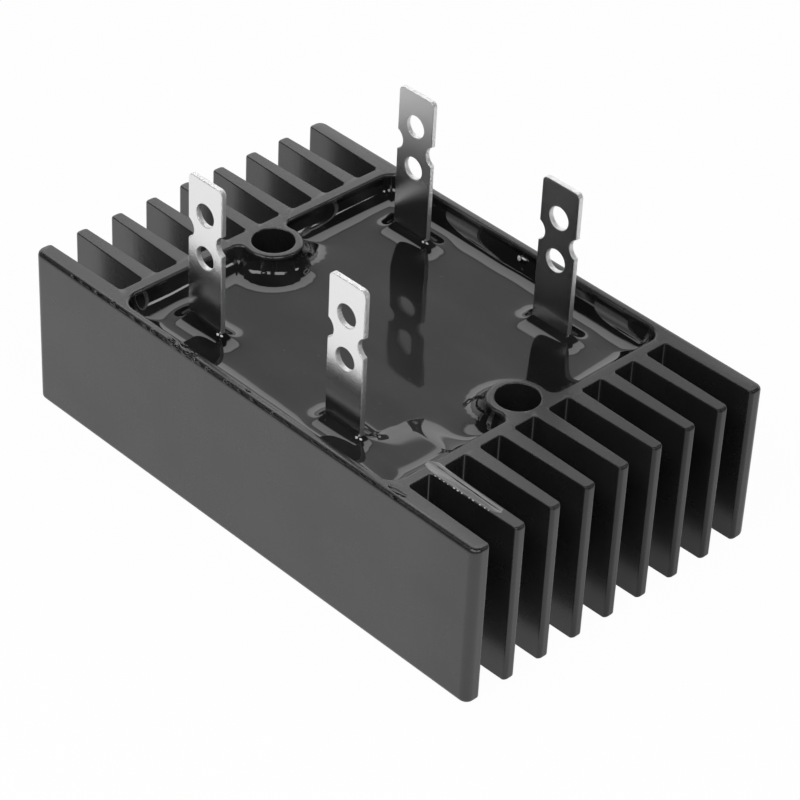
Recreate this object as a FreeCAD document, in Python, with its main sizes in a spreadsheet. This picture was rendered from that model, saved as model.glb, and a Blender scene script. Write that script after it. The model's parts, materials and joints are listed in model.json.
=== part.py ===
import FreeCAD, Part
import math
import os
import Sketcher
from FreeCAD import Placement, Rotation, Vector

# Driving dimensions in millimetres. X runs along the fins, Y across them, Z up from the fins' lower edges.
SIZES = {
    # Casting envelope
    "length": 85.0,
    "width": 52.6,
    "height": 24.6,
    "corner_round": 1.3,
    "edge_round": 0.8,
    # Fins: the inner ones stand at one pitch, the outer pair are the full-length side plates
    "fin_pitch": 6.13,
    "inner_slots": 6,
    "fin_root": 2.31,
    "fin_tip": 1.72,
    "side_root": 2.94,
    "side_tip": 2.63,
    "fin_tip_round": 0.6,
    "slot_root_round": 0.5,
    "slot_overrun": 2.0,
    "tip_land": 0.05,
    # Well and floor
    "end_wall": 1.8,
    "side_wall": 1.6,
    "well_depth": 13.0,
    "well_round": 2.5,
    "floor_thick": 3.0,
    "rim_chamfer": 0.45,
    # Mounting bosses, which touch the inner ends of the fins
    "hole_spacing": 47.0,
    "hole_radius": 3.0,
    "hole_chamfer": 0.3,
    "boss_radius": 4.2,
    "boss_blend": 1.2,
    # Resin surface
    "resin_drop": 3.3,
    "meniscus_rise": 0.75,
    "meniscus_width": 0.25,
    "collar_margin": 0.4,
    # Blade terminals; each stands at its own distance inside the well's long wall
    "blade_width": 6.6,
    "blade_thick": 0.8,
    "blade_top": 44.5,
    "blade_corner": 0.8,
    "bend_radius": 0.8,
    "foot_length": 3.6,
    "eye_radius": 1.68,
    "eye_drop": 5.15,
    "eye_pitch": 6.6,
    "notch_radius": 1.65,
    "notch_depth": 1.05,
    "ac_one_x": -17.0,
    "ac_one_inset": 7.2,
    "plus_x": 11.3,
    "plus_inset": 5.9,
    "minus_x": -15.4,
    "minus_inset": 6.2,
    "ac_two_x": 12.9,
    "ac_two_inset": 7.4,
    # Circuit under the resin
    "bond_thick": 0.1,
    "ceramic_thick": 0.8,
    "boss_gap": 1.1,
    "wall_gap": 1.2,
    "end_gap": 4.4,
    "pad_thick": 0.8,
    "pad_margin": 0.5,
    "pad_gap": 1.5,
    "front_split": -1.3,
    "rear_split": -7.2,
    "solder_thick": 0.15,
    "die_side": 8.0,
    "die_thick": 0.35,
    "die_inset": 1.5,
    "die_margin": 0.5,
    "strap_thick": 0.5,
    "strap_width": 5.0,
    "strap_arch": 2.0,
    "strap_landing": 4.5,
    "strap_inset": 1.0,
}

HOLE_X = "sizes.hole_spacing / 2"
CORE_END = f"({HOLE_X} + sizes.boss_radius)"
OPEN_END = "sizes.length / 2 + sizes.slot_overrun"
WELL_X = f"({CORE_END} - sizes.end_wall)"
WELL_Y = "(sizes.width / 2 - sizes.side_wall)"

# Levels above the fins' lower edges, from the well's floor up through the circuit
FLOOR = "sizes.height - sizes.well_depth"
CERAMIC_LOW = f"{FLOOR} + sizes.bond_thick"
PAD_LOW = f"{CERAMIC_LOW} + sizes.ceramic_thick"
PAD_TOP = f"{PAD_LOW} + sizes.pad_thick"
ON_PAD = f"{PAD_TOP} + sizes.solder_thick"
DIE_TOP = f"{ON_PAD} + sizes.die_thick"
RESIN_LEVEL = "sizes.height - sizes.resin_drop"

# Ceramics between the bosses and the well's long walls, and the pads' edges inside the ceramics' own
CERAMIC_END = f"({WELL_X} - sizes.end_gap)"
CERAMIC_NEAR = "(sizes.boss_radius + sizes.boss_gap)"
CERAMIC_FAR = f"({WELL_Y} - sizes.wall_gap)"
PAD_END = f"({CERAMIC_END} - sizes.pad_margin)"
PAD_NEAR = f"({CERAMIC_NEAR} + sizes.pad_margin)"
PAD_FAR = f"({CERAMIC_FAR} - sizes.pad_margin)"

# Dice: one row on each ceramic, set in from the ends of the pads
DIE_ROW = f"({PAD_NEAR} + sizes.die_margin + sizes.die_side / 2)"
DIE_REACH = "(sizes.die_inset + sizes.die_side / 2)"
OUTER_DIE = f"({PAD_END} - {DIE_REACH})"
DIE_ONE_X = f"(sizes.front_split + sizes.pad_gap / 2 + {DIE_REACH})"
DIE_FOUR_X = f"(sizes.rear_split + sizes.pad_gap / 2 + {DIE_REACH})"
DICE = [
    (DIE_ONE_X, f"-{DIE_ROW}"),
    (OUTER_DIE, f"-{DIE_ROW}"),
    (f"-{OUTER_DIE}", f"-{DIE_ROW}"),
    (DIE_FOUR_X, DIE_ROW),
]

# Landings of the two single straps, set in from the pads' edges
LANDING_REACH = "(sizes.strap_inset + sizes.strap_landing / 2)"
STRAP_ONE_X = f"(sizes.front_split - sizes.pad_gap / 2 - {LANDING_REACH})"
STRAP_TWO_Y = f"({PAD_NEAR} + {LANDING_REACH})"

# Terminals: node, place in X and Y, and whether the foot points to the rear
TERMINALS = [
    ("terminal_ac_1", "sizes.ac_one_x", f"(sizes.ac_one_inset - {WELL_Y})", False),
    ("terminal_plus", "sizes.plus_x", f"(sizes.plus_inset - {WELL_Y})", False),
    ("terminal_minus", "sizes.minus_x", f"({WELL_Y} - sizes.minus_inset)", True),
    ("terminal_ac_2", "sizes.ac_two_x", f"({WELL_Y} - sizes.ac_two_inset)", True),
]

TOLERANCE = 1e-4


def make_sheet(doc):
    """Put every driving dimension in a spreadsheet cell whose alias is its name."""
    sheet = doc.addObject("Spreadsheet::Sheet", "sizes")
    for row, (name, size) in enumerate(SIZES.items(), start=1):
        sheet.set(f"A{row}", name)
        sheet.set(f"B{row}", str(size))
        sheet.setAlias(f"B{row}", name)
    doc.recompute()
    return sheet


def value(owner, expression):
    """Number that an expression on the sheet gives now."""
    return float(owner.evalExpression(expression))


def make_body(doc, label):
    """Empty body that becomes one sub-part."""
    body = doc.addObject("PartDesign::Body", label)
    body.Label = label
    return body


def add_sketch(body, name, plane="XY_Plane", offset=None):
    """Sketch on one of the body's origin planes, raised along the plane's normal by an expression."""
    sketch = body.newObject("Sketcher::SketchObject", name)
    support = [feature for feature in body.Origin.OriginFeatures if feature.Role == plane][0]
    sketch.AttachmentSupport = [(support, "")]
    sketch.MapMode = "FlatFace"
    if offset is not None:
        sketch.setExpression("AttachmentOffset.Base.z", offset)
    return sketch


def bind(sketch, constraint, expression):
    """Add a constraint and tie its value to the sheet."""
    index = sketch.addConstraint(constraint)
    sketch.setExpression(f"Constraints[{index}]", expression)


def bind_point(sketch, geometry, end, place, x, y):
    """Hold one point of the geometry at a place measured from the sketch's origin."""
    bind(sketch, Sketcher.Constraint("DistanceX", -1, 1, geometry, end, place.x), x)
    bind(sketch, Sketcher.Constraint("DistanceY", -1, 1, geometry, end, place.y), y)


def rounded_corner(before, corner, after, radius):
    """Tangent points, arc and turn of a corner rounded with a radius."""
    back = (before - corner).normalize()
    ahead = (after - corner).normalize()
    half_angle = back.getAngle(ahead) / 2
    run = radius / math.tan(half_angle)
    start = corner + back * run
    end = corner + ahead * run
    centre = corner + (back + ahead).normalize() * (radius / math.sin(half_angle))
    left_turn = back.cross(ahead).z < 0
    first, last = (start, end) if left_turn else (end, start)
    low = math.atan2(first.y - centre.y, first.x - centre.x)
    high = math.atan2(last.y - centre.y, last.x - centre.x)
    circle = Part.Circle(centre, Vector(0, 0, 1), radius)
    return start, end, Part.ArcOfCircle(circle, low, high), left_turn


def draw_outline(sketch, corners):
    """Closed outline of lines; a corner is (x, y) or, where it is rounded, (x, y, radius), in expressions."""
    places = [Vector(value(sketch, corner[0]), value(sketch, corner[1]), 0) for corner in corners]
    count = len(corners)
    starts, ends, arcs = [], [], {}
    for index, corner in enumerate(corners):
        start = end = places[index]
        if len(corner) == 3:
            before, after = places[index - 1], places[(index + 1) % count]
            radius = value(sketch, corner[2])
            start, end, arc, left_turn = rounded_corner(before, places[index], after, radius)
            arcs[index] = (arc, left_turn)
        starts.append(start)
        ends.append(end)
    lines = []
    for index in range(count):
        side = Part.LineSegment(ends[index], starts[(index + 1) % count])
        lines.append(sketch.addGeometry(side))
    for index, corner in enumerate(corners):
        arriving, leaving = lines[index - 1], lines[index]
        if index not in arcs:
            sketch.addConstraint(Sketcher.Constraint("Coincident", arriving, 2, leaving, 1))
            bind_point(sketch, leaving, 1, places[index], corner[0], corner[1])
            continue
        arc, left_turn = arcs[index]
        curve = sketch.addGeometry(arc)
        sketch.addConstraint(Sketcher.Constraint("Tangent", arriving, 2, curve, 1 if left_turn else 2))
        sketch.addConstraint(Sketcher.Constraint("Tangent", leaving, 1, curve, 2 if left_turn else 1))
        bind(sketch, Sketcher.Constraint("Radius", curve, arc.Radius), corner[2])
        apex = sketch.addGeometry(Part.Point(places[index]), True)
        sketch.addConstraint(Sketcher.Constraint("PointOnObject", apex, 1, arriving))
        sketch.addConstraint(Sketcher.Constraint("PointOnObject", apex, 1, leaving))
        bind_point(sketch, apex, 1, places[index], corner[0], corner[1])


def draw_rectangle(sketch, low_x, low_y, high_x, high_y, radius=None):
    """Rectangle between two corners, rounded where a radius is given."""
    rounding = () if radius is None else (radius,)
    corners = [(low_x, low_y), (high_x, low_y), (high_x, high_y), (low_x, high_y)]
    draw_outline(sketch, [corner + rounding for corner in corners])


def draw_circle(sketch, x, y, radius):
    """Circle about a centre."""
    centre = Vector(value(sketch, x), value(sketch, y), 0)
    size = value(sketch, radius)
    circle = sketch.addGeometry(Part.Circle(centre, Vector(0, 0, 1), size))
    bind(sketch, Sketcher.Constraint("Radius", circle, size), radius)
    bind_point(sketch, circle, 3, centre, x, y)


def extrude(body, kind, sketch, name, length=None, midplane=False, flipped=False):
    """Pad or Pocket of a sketch; without a length a pocket goes right through."""
    feature = body.newObject(f"PartDesign::{kind}", name)
    feature.Profile = sketch
    feature.Reversed = flipped
    if length is None:
        feature.Type = "ThroughAll"
    else:
        feature.setExpression("Length", length)
    if midplane:
        feature.Midplane = True
    body.Tip = feature
    body.Document.recompute()
    return feature


def repeat_along_y(body, feature, name, length, count):
    """Linear pattern of one feature along the body's Y axis."""
    pattern = body.newObject("PartDesign::LinearPattern", name)
    pattern.Originals = [feature]
    axis = [item for item in body.Origin.OriginFeatures if item.Role == "Y_Axis"][0]
    pattern.Direction = (axis, [""])
    pattern.setExpression("Length", length)
    pattern.setExpression("Occurrences", count)
    body.Tip = pattern
    body.Document.recompute()
    return pattern


def dress_edges(body, base, kind, name, size, wanted):
    """Fillet or Chamfer on every edge of the base feature that the test picks."""
    names = [f"Edge{index}" for index, edge in enumerate(base.Shape.Edges, start=1) if wanted(edge)]
    dressing = body.newObject(f"PartDesign::{kind}", name)
    dressing.Base = (base, names)
    dressing.setExpression("Radius" if kind == "Fillet" else "Size", size)
    body.Tip = dressing
    body.Document.recompute()
    return dressing


def round_edges(body, base, name, radius, wanted):
    """Fillet every edge of the base feature that the test picks."""
    return dress_edges(body, base, "Fillet", name, radius, wanted)


def bevel_edges(body, base, name, size, wanted):
    """Chamfer every edge of the base feature that the test picks."""
    return dress_edges(body, base, "Chamfer", name, size, wanted)


def is_level(edge, height):
    """True for an edge that lies all at one height."""
    box = edge.BoundBox
    return abs(box.ZMin - height) < TOLERANCE and abs(box.ZMax - height) < TOLERANCE


def is_upright(edge):
    """True for an edge that runs along Z."""
    box = edge.BoundBox
    return box.XLength < TOLERANCE and box.YLength < TOLERANCE and box.ZLength > TOLERANCE


def draw_end_slot(sketch, end, low_root, low_tip, high_root, high_tip):
    """Gap between two fins at one end, wider at its mouth, with the fins' tips rounded; end is + or -."""
    root, mouth, outside = f"{end}{CORE_END}", f"{end}sizes.length / 2", f"{end}({OPEN_END})"
    low_flare = f"{low_tip} - sizes.fin_tip_round - sizes.tip_land"
    high_flare = f"{high_tip} + sizes.fin_tip_round + sizes.tip_land"
    draw_outline(sketch, [
        (root, low_root, "sizes.slot_root_round"),
        (mouth, low_tip, "sizes.fin_tip_round"),
        (mouth, low_flare),
        (outside, low_flare),
        (outside, high_flare),
        (mouth, high_flare),
        (mouth, high_tip, "sizes.fin_tip_round"),
        (root, high_root, "sizes.slot_root_round"),
    ])


def draw_boss_circles(sketch, radius):
    """Circle about each of the two mounting holes."""
    draw_circle(sketch, f"-{HOLE_X}", "0", radius)
    draw_circle(sketch, HOLE_X, "0", radius)


def blend_bosses(body, base):
    """Concave fillets where the bosses grow out of the well's end walls."""
    wall = value(base, WELL_X)
    reach = value(base, "sizes.boss_radius")

    def beside_boss(edge):
        """Upright edge in the corner between a boss and its wall."""
        box = edge.BoundBox
        return is_upright(edge) and abs(abs(box.XMin) - wall) < TOLERANCE and abs(box.YMin) < reach

    return round_edges(body, base, "boss_blends", "sizes.boss_blend", beside_boss)


def make_heatsink(doc):
    """Die-cast heatsink: finned block with a well between the side plates and a boss at each end of it."""
    body = make_body(doc, "heatsink")
    plan = add_sketch(body, "plan")
    half_x, half_y = "sizes.length / 2", "sizes.width / 2"
    draw_rectangle(plan, f"-{half_x}", f"-{half_y}", half_x, half_y, "sizes.corner_round")
    block = extrude(body, "Pad", plan, "block", "sizes.height")
    top = value(block, "sizes.height")

    def on_outer_edge(edge):
        """Edge round the block's top or bottom."""
        return is_level(edge, top) or is_level(edge, 0)

    block = round_edges(body, block, "outer_edges", "sizes.edge_round", on_outer_edge)

    # Cooling channels that carry the fins on under the well's floor
    channels = add_sketch(body, "channel_plan")
    middle = "-(sizes.inner_slots - 1) / 2 * sizes.fin_pitch"
    half_gap = "(sizes.fin_pitch - sizes.fin_root) / 2"
    reach = f"({CORE_END} + sizes.slot_overrun)"
    draw_rectangle(channels, f"-{reach}", f"{middle} - {half_gap}", reach, f"{middle} + {half_gap}")
    row_length = "(sizes.inner_slots - 1) * sizes.fin_pitch"
    under_floor = f"{FLOOR} - sizes.floor_thick"
    channel = extrude(body, "Pocket", channels, "channel", under_floor, flipped=True)
    repeat_along_y(body, channel, "channels", row_length, "sizes.inner_slots")
    outer_fin = "sizes.inner_slots / 2 * sizes.fin_pitch + sizes.fin_root / 2"
    side_channels = add_sketch(body, "side_channel_plan")
    inner_face = f"{half_y} - sizes.side_root"
    draw_rectangle(side_channels, f"-{reach}", f"-({inner_face})", reach, f"-({outer_fin})")
    draw_rectangle(side_channels, f"-{reach}", outer_fin, reach, inner_face)
    extrude(body, "Pocket", side_channels, "side_channels", under_floor, flipped=True)

    # Well for the circuit, with a full-height boss at the middle of each end wall
    well_plan = add_sketch(body, "well_plan", offset="sizes.height")
    draw_rectangle(well_plan, f"-{WELL_X}", f"-{WELL_Y}", WELL_X, WELL_Y, "sizes.well_round")
    extrude(body, "Pocket", well_plan, "well", "sizes.well_depth")
    boss_plan = add_sketch(body, "boss_plan")
    draw_boss_circles(boss_plan, "sizes.boss_radius")
    bosses = extrude(body, "Pad", boss_plan, "bosses", "sizes.height")
    blends = blend_bosses(body, bosses)
    well_x, well_y = value(block, WELL_X), value(block, WELL_Y)

    def on_rim(edge):
        """Edge of the well's mouth."""
        box = edge.BoundBox
        reach_x, reach_y = max(-box.XMin, box.XMax), max(-box.YMin, box.YMax)
        return is_level(edge, top) and reach_x < well_x + TOLERANCE and reach_y < well_y + TOLERANCE

    bevel_edges(body, blends, "rim", "sizes.rim_chamfer", on_rim)

    # Slots between the fins at both ends
    slot_plan = add_sketch(body, "slot_plan", offset="sizes.height")
    half_mouth = "(sizes.fin_pitch - sizes.fin_tip) / 2"
    for end in ("-", ""):
        draw_end_slot(slot_plan, end, f"{middle} - {half_gap}", f"{middle} - {half_mouth}",
                      f"{middle} + {half_gap}", f"{middle} + {half_mouth}")
    slot = extrude(body, "Pocket", slot_plan, "slot")
    repeat_along_y(body, slot, "slots", row_length, "sizes.inner_slots")
    side_slot_plan = add_sketch(body, "side_slot_plan", offset="sizes.height")
    outer_tip = "sizes.inner_slots / 2 * sizes.fin_pitch + sizes.fin_tip / 2"
    inner_tip = f"{half_y} - sizes.side_tip"
    for end in ("-", ""):
        draw_end_slot(side_slot_plan, end, f"-({inner_face})", f"-({inner_tip})",
                      f"-({outer_fin})", f"-({outer_tip})")
        draw_end_slot(side_slot_plan, end, outer_fin, outer_tip, inner_face, inner_tip)
    extrude(body, "Pocket", side_slot_plan, "side_slots")

    # Mounting holes through the bosses
    hole_plan = add_sketch(body, "hole_plan", offset="sizes.height")
    draw_boss_circles(hole_plan, "sizes.hole_radius")
    holes = extrude(body, "Pocket", hole_plan, "holes")
    hole_radius = value(holes, "sizes.hole_radius")

    def on_hole(edge):
        """Upper edge of a mounting hole."""
        round_edge = hasattr(edge.Curve, "Radius") and abs(edge.Curve.Radius - hole_radius) < TOLERANCE
        return round_edge and is_level(edge, top)

    bevel_edges(body, holes, "hole_rims", "sizes.hole_chamfer", on_hole)
    return body


def place(part, x, y, z, turn=0):
    """Put a sub-part at a place given by expressions, turned about Z by whole degrees."""
    part.Placement = Placement(Vector(), Rotation(Vector(0, 0, 1), turn))
    for axis, expression in zip("xyz", (x, y, z)):
        part.setExpression(f"Placement.Base.{axis}", expression)


def make_terminal(doc, label, x, y, rear):
    """Stamped blade with two eyes and a notch in each side, bent to a foot that is soldered to its pad."""
    body = make_body(doc, label)
    half_thick, half_width = "sizes.blade_thick / 2", "sizes.blade_width / 2"
    rise = f"(sizes.blade_top - ({ON_PAD}))"
    toe = f"-{half_thick} - sizes.foot_length"
    strip = add_sketch(body, f"{label}_strip", "YZ_Plane")
    draw_outline(strip, [
        (toe, "0"),
        (half_thick, "0", "sizes.bend_radius + sizes.blade_thick"),
        (half_thick, rise),
        (f"-{half_thick}", rise),
        (f"-{half_thick}", "sizes.blade_thick", "sizes.bend_radius"),
        (toe, "sizes.blade_thick"),
    ])
    blade = extrude(body, "Pad", strip, f"{label}_blade", "sizes.blade_width", midplane=True)
    top = value(blade, rise)

    def at_top_corner(edge):
        """Upper corner of the blade, seen from its wide side."""
        box = edge.BoundBox
        return is_level(edge, top) and box.XLength < TOLERANCE

    round_edges(body, blade, f"{label}_corners", "sizes.blade_corner", at_top_corner)
    holes = add_sketch(body, f"{label}_holes", "XZ_Plane")
    upper, lower = f"{rise} - sizes.eye_drop", f"{rise} - sizes.eye_drop - sizes.eye_pitch"
    draw_circle(holes, "0", upper, "sizes.eye_radius")
    draw_circle(holes, "0", lower, "sizes.eye_radius")
    notch_x = f"({half_width} + sizes.notch_radius - sizes.notch_depth)"
    notch_z = f"{rise} - sizes.eye_drop - sizes.eye_pitch / 2"
    draw_circle(holes, f"-{notch_x}", notch_z, "sizes.notch_radius")
    draw_circle(holes, notch_x, notch_z, "sizes.notch_radius")
    extrude(body, "Pocket", holes, f"{label}_cuts", midplane=True)
    place(body, x, y, ON_PAD, 180 if rear else 0)
    return body


def make_slab(doc, label, low_x, low_y, low_z, high_x, high_y, thick):
    """Flat rectangular piece between two corners."""
    slab = doc.addObject("Part::Box", label)
    slab.Label = label
    slab.setExpression("Length", f"{high_x} - ({low_x})")
    slab.setExpression("Width", f"{high_y} - ({low_y})")
    slab.setExpression("Height", thick)
    place(slab, low_x, low_y, low_z)
    return slab


def make_centred_slab(doc, label, x, y, z, long_x, long_y, thick):
    """Flat rectangular piece about a centre."""
    low_x, high_x = f"{x} - {long_x} / 2", f"{x} + {long_x} / 2"
    low_y, high_y = f"{y} - {long_y} / 2", f"{y} + {long_y} / 2"
    return make_slab(doc, label, low_x, low_y, z, high_x, high_y, thick)


def make_insulation(doc):
    """Two ceramic plates, one under each row of terminals, each on its bond line."""
    plates = []
    ends = (f"-{CERAMIC_END}", CERAMIC_END)
    sides = {"front": (f"-{CERAMIC_FAR}", f"-{CERAMIC_NEAR}"), "rear": (CERAMIC_NEAR, CERAMIC_FAR)}
    layers = (("bond", FLOOR, "sizes.bond_thick"), ("insulator", CERAMIC_LOW, "sizes.ceramic_thick"))
    for name, (low_y, high_y) in sides.items():
        for layer, low_z, thick in layers:
            plates.append(make_slab(doc, f"{layer}_{name}", ends[0], low_y, low_z, ends[1], high_y, thick))
    return plates


def make_pads(doc):
    """Copper pads bonded on the ceramics: two on each, with a gap between them."""
    pads = []
    thick, half_gap = "sizes.pad_thick", "sizes.pad_gap / 2"
    rows = ((f"-{PAD_FAR}", f"-{PAD_NEAR}", "sizes.front_split", "pad_ac_1", "pad_plus"),
            (PAD_NEAR, PAD_FAR, "sizes.rear_split", "pad_minus", "pad_ac_2"))
    for low_y, high_y, split, left, right in rows:
        left_end, right_end = f"{split} - {half_gap}", f"{split} + {half_gap}"
        pads.append(make_slab(doc, left, f"-{PAD_END}", low_y, PAD_LOW, left_end, high_y, thick))
        pads.append(make_slab(doc, right, right_end, low_y, PAD_LOW, PAD_END, high_y, thick))
    return pads


def make_dice(doc):
    """Four silicon dice between their two solder layers."""
    pieces = []
    layers = (("solder_under", PAD_TOP, "sizes.die_side", "sizes.solder_thick"),
              ("diode", ON_PAD, "sizes.die_side", "sizes.die_thick"),
              ("solder_over", DIE_TOP, "sizes.strap_width", "sizes.solder_thick"))
    for number, (x, y) in enumerate(DICE, start=1):
        for layer, low_z, side, thick in layers:
            pieces.append(make_centred_slab(doc, f"{layer}_{number}", x, y, low_z, side, side, thick))
    return pieces


def draw_arm(sketch, way, reach):
    """Side view of a strap from its landing up over an arch and down onto a die, in the direction of way."""
    land, thick = "sizes.strap_landing / 2", "sizes.strap_thick"
    step = "sizes.die_thick + sizes.solder_thick"
    near, far = f"({reach}) - sizes.strap_width / 2", f"({reach}) + sizes.strap_width / 2"
    arch = "sizes.strap_arch"
    profile = [
        (f"-{land}", "0"),
        (land, "0"),
        (land, arch),
        (near, arch),
        (near, step),
        (far, step),
        (far, f"{step} + {thick}"),
        (f"{near} + {thick}", f"{step} + {thick}"),
        (f"{near} + {thick}", f"{arch} + {thick}"),
        (f"{land} - {thick}", f"{arch} + {thick}"),
        (f"{land} - {thick}", thick),
        (f"-{land}", thick),
    ]
    draw_outline(sketch, [(f"{way}({x})", z) for x, z in profile])


def make_strap(doc, label, x, y, reach_x=None, reach_y=None):
    """Copper strap that lands on a pad at (x, y) and reaches one die along +X, one along -Y, or both."""
    body = make_body(doc, label)
    if reach_x is not None:
        along = add_sketch(body, f"{label}_along", "XZ_Plane")
        draw_arm(along, "", reach_x)
        extrude(body, "Pad", along, f"{label}_arm_x", "sizes.strap_width", midplane=True)
    if reach_y is not None:
        across = add_sketch(body, f"{label}_across", "YZ_Plane")
        draw_arm(across, "-", reach_y)
        extrude(body, "Pad", across, f"{label}_arm_y", "sizes.strap_width", midplane=True)
    place(body, x, y, ON_PAD)
    return body


def make_straps(doc):
    """Three straps that join the tops of the dice to the pads of the terminals, each on its solder."""
    landings = {
        "strap_ac_1": (STRAP_ONE_X, f"-{DIE_ROW}", f"{DIE_ONE_X} - {STRAP_ONE_X}", None),
        "strap_ac_2": (OUTER_DIE, STRAP_TWO_Y, None, f"{STRAP_TWO_Y} + {DIE_ROW}"),
        "strap_minus": (f"-{OUTER_DIE}", DIE_ROW, f"{DIE_FOUR_X} + {OUTER_DIE}", f"2 * {DIE_ROW}"),
    }
    wide, thick = "sizes.strap_width", "sizes.solder_thick"
    pieces = []
    for label, (x, y, reach_x, reach_y) in landings.items():
        long_x = "sizes.strap_landing" if reach_x else wide
        long_y = "sizes.strap_landing" if reach_y else wide
        pieces.append(make_centred_slab(doc, f"solder_{label}", x, y, PAD_TOP, long_x, long_y, thick))
        pieces.append(make_strap(doc, label, x, y, reach_x, reach_y))
    return pieces


def make_terminals(doc):
    """Four blade terminals and the solder under their feet."""
    pieces = []
    flat = "sizes.foot_length - sizes.bend_radius"
    for label, x, y, rear in TERMINALS:
        pieces.append(make_terminal(doc, label, x, y, rear))
        side = "" if rear else "-"
        middle = f"{y} + {side}(sizes.blade_thick / 2 + sizes.bend_radius + ({flat}) / 2)"
        solder = label.replace("terminal", "solder_foot")
        area = ("sizes.blade_width", f"({flat})")
        pieces.append(make_centred_slab(doc, solder, x, middle, PAD_TOP, *area, "sizes.solder_thick"))
    return pieces


def make_resin_block(doc):
    """Contents of the well from its floor to the height where the resin wets the wall."""
    body = make_body(doc, "resin_block")
    outline = add_sketch(body, "resin_outline", offset=FLOOR)
    draw_rectangle(outline, f"-{WELL_X}", f"-{WELL_Y}", WELL_X, WELL_Y, "sizes.well_round")
    extrude(body, "Pad", outline, "resin_fill", "sizes.well_depth - sizes.resin_drop + sizes.meniscus_rise")
    around = add_sketch(body, "resin_bosses", offset="sizes.height")
    draw_boss_circles(around, "sizes.boss_radius")
    blend_bosses(body, extrude(body, "Pocket", around, "resin_around_bosses"))
    return body


def make_air(doc):
    """Space above the resin: its bevelled lower edge leaves the meniscus at walls, bosses and blades."""
    body = make_body(doc, "resin_air")
    inset = "sizes.meniscus_width"
    half_x, half_y = f"({WELL_X} - {inset})", f"({WELL_Y} - {inset})"
    outline = add_sketch(body, "air_outline", offset=RESIN_LEVEL)
    draw_rectangle(outline, f"-{half_x}", f"-{half_y}", half_x, half_y, f"sizes.well_round - {inset}")
    extrude(body, "Pad", outline, "air", "sizes.resin_drop")
    around = add_sketch(body, "air_bosses", offset="sizes.height")
    draw_boss_circles(around, f"sizes.boss_radius + {inset}")
    cut = extrude(body, "Pocket", around, "air_around_bosses")
    wall = value(cut, half_x)
    reach = value(cut, f"sizes.boss_radius + {inset}")

    def beside_boss(edge):
        """Upright edge where the collar of a boss meets the wall's."""
        box = edge.BoundBox
        return is_upright(edge) and abs(abs(box.XMin) - wall) < TOLERANCE and abs(box.YMin) < reach

    round_edges(body, cut, "air_blends", f"sizes.boss_blend - {inset}", beside_boss)
    collars = add_sketch(body, "air_collars", offset="sizes.height")
    margin = "sizes.collar_margin"
    wide, deep = f"(sizes.blade_width / 2 + {margin})", f"(sizes.blade_thick / 2 + {margin})"
    for _, x, y, _ in TERMINALS:
        draw_rectangle(collars, f"{x} - {wide}", f"{y} - {deep}", f"{x} + {wide}", f"{y} + {deep}", margin)
    cut = extrude(body, "Pocket", collars, "air_around_blades")
    low = value(cut, RESIN_LEVEL)
    bevel_edges(body, cut, "meniscus", "sizes.meniscus_rise", lambda edge: is_level(edge, low))
    return body


def make_potting(doc, circuit):
    """Resin that fills the well around the circuit and the blades."""
    surface = doc.addObject("Part::Cut", "resin_surface")
    surface.Base = make_resin_block(doc)
    surface.Tool = make_air(doc)
    inside = doc.addObject("Part::MultiFuse", "circuit")
    inside.Shapes = circuit
    potting = doc.addObject("Part::Cut", "potting")
    potting.Label = "potting"
    potting.Base = surface
    potting.Tool = inside
    doc.recompute()
    return potting


def check_document(doc, parts):
    """Stop if any object failed or any sub-part has no valid shape."""
    failed = [item.Name for item in doc.Objects if "Invalid" in item.State or "Error" in item.State]
    if failed:
        raise RuntimeError(f"objects that failed: {failed}")
    for part in parts:
        if part.Shape.isNull() or not part.Shape.isValid() or not part.Shape.Solids:
            raise RuntimeError(f"no valid solid in {part.Label}")


def export_parts(parts):
    """Write one STEP file for each sub-part."""
    os.makedirs("parts", exist_ok=True)
    for part in parts:
        part.Shape.exportStep(os.path.join("parts", f"{part.Label}.step"))
        print(f"{part.Label}: {len(part.Shape.Solids)} solid, {part.Shape.Volume:.2f} mm3")


def main():
    """Build the module and write its sub-parts."""
    doc = FreeCAD.newDocument("bridge_rectifier")
    make_sheet(doc)
    heatsink = make_heatsink(doc)
    circuit = make_insulation(doc) + make_pads(doc) + make_dice(doc) + make_straps(doc) + make_terminals(doc)
    doc.recompute()
    parts = [heatsink, make_potting(doc, circuit)] + circuit
    check_document(doc, parts)
    export_parts(parts)


if __name__ == "__main__":
    main()
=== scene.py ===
"""Looks of a potted bridge rectifier: finned casting, resin, blade terminals and the circuit inside.

Sizes in this file are millimetres, in the CAD frame: X along the fins, Y across them, Z up.
Meshes are scaled to metres where they are made.
"""

import json
import logging
import math
from collections.abc import Callable, Sequence
from dataclasses import dataclass, field
from enum import Enum
from itertools import cycle

import bpy
import numpy as np
from mathutils import Matrix, Vector, noise
from mathutils.geometry import delaunay_2d_cdt


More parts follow.
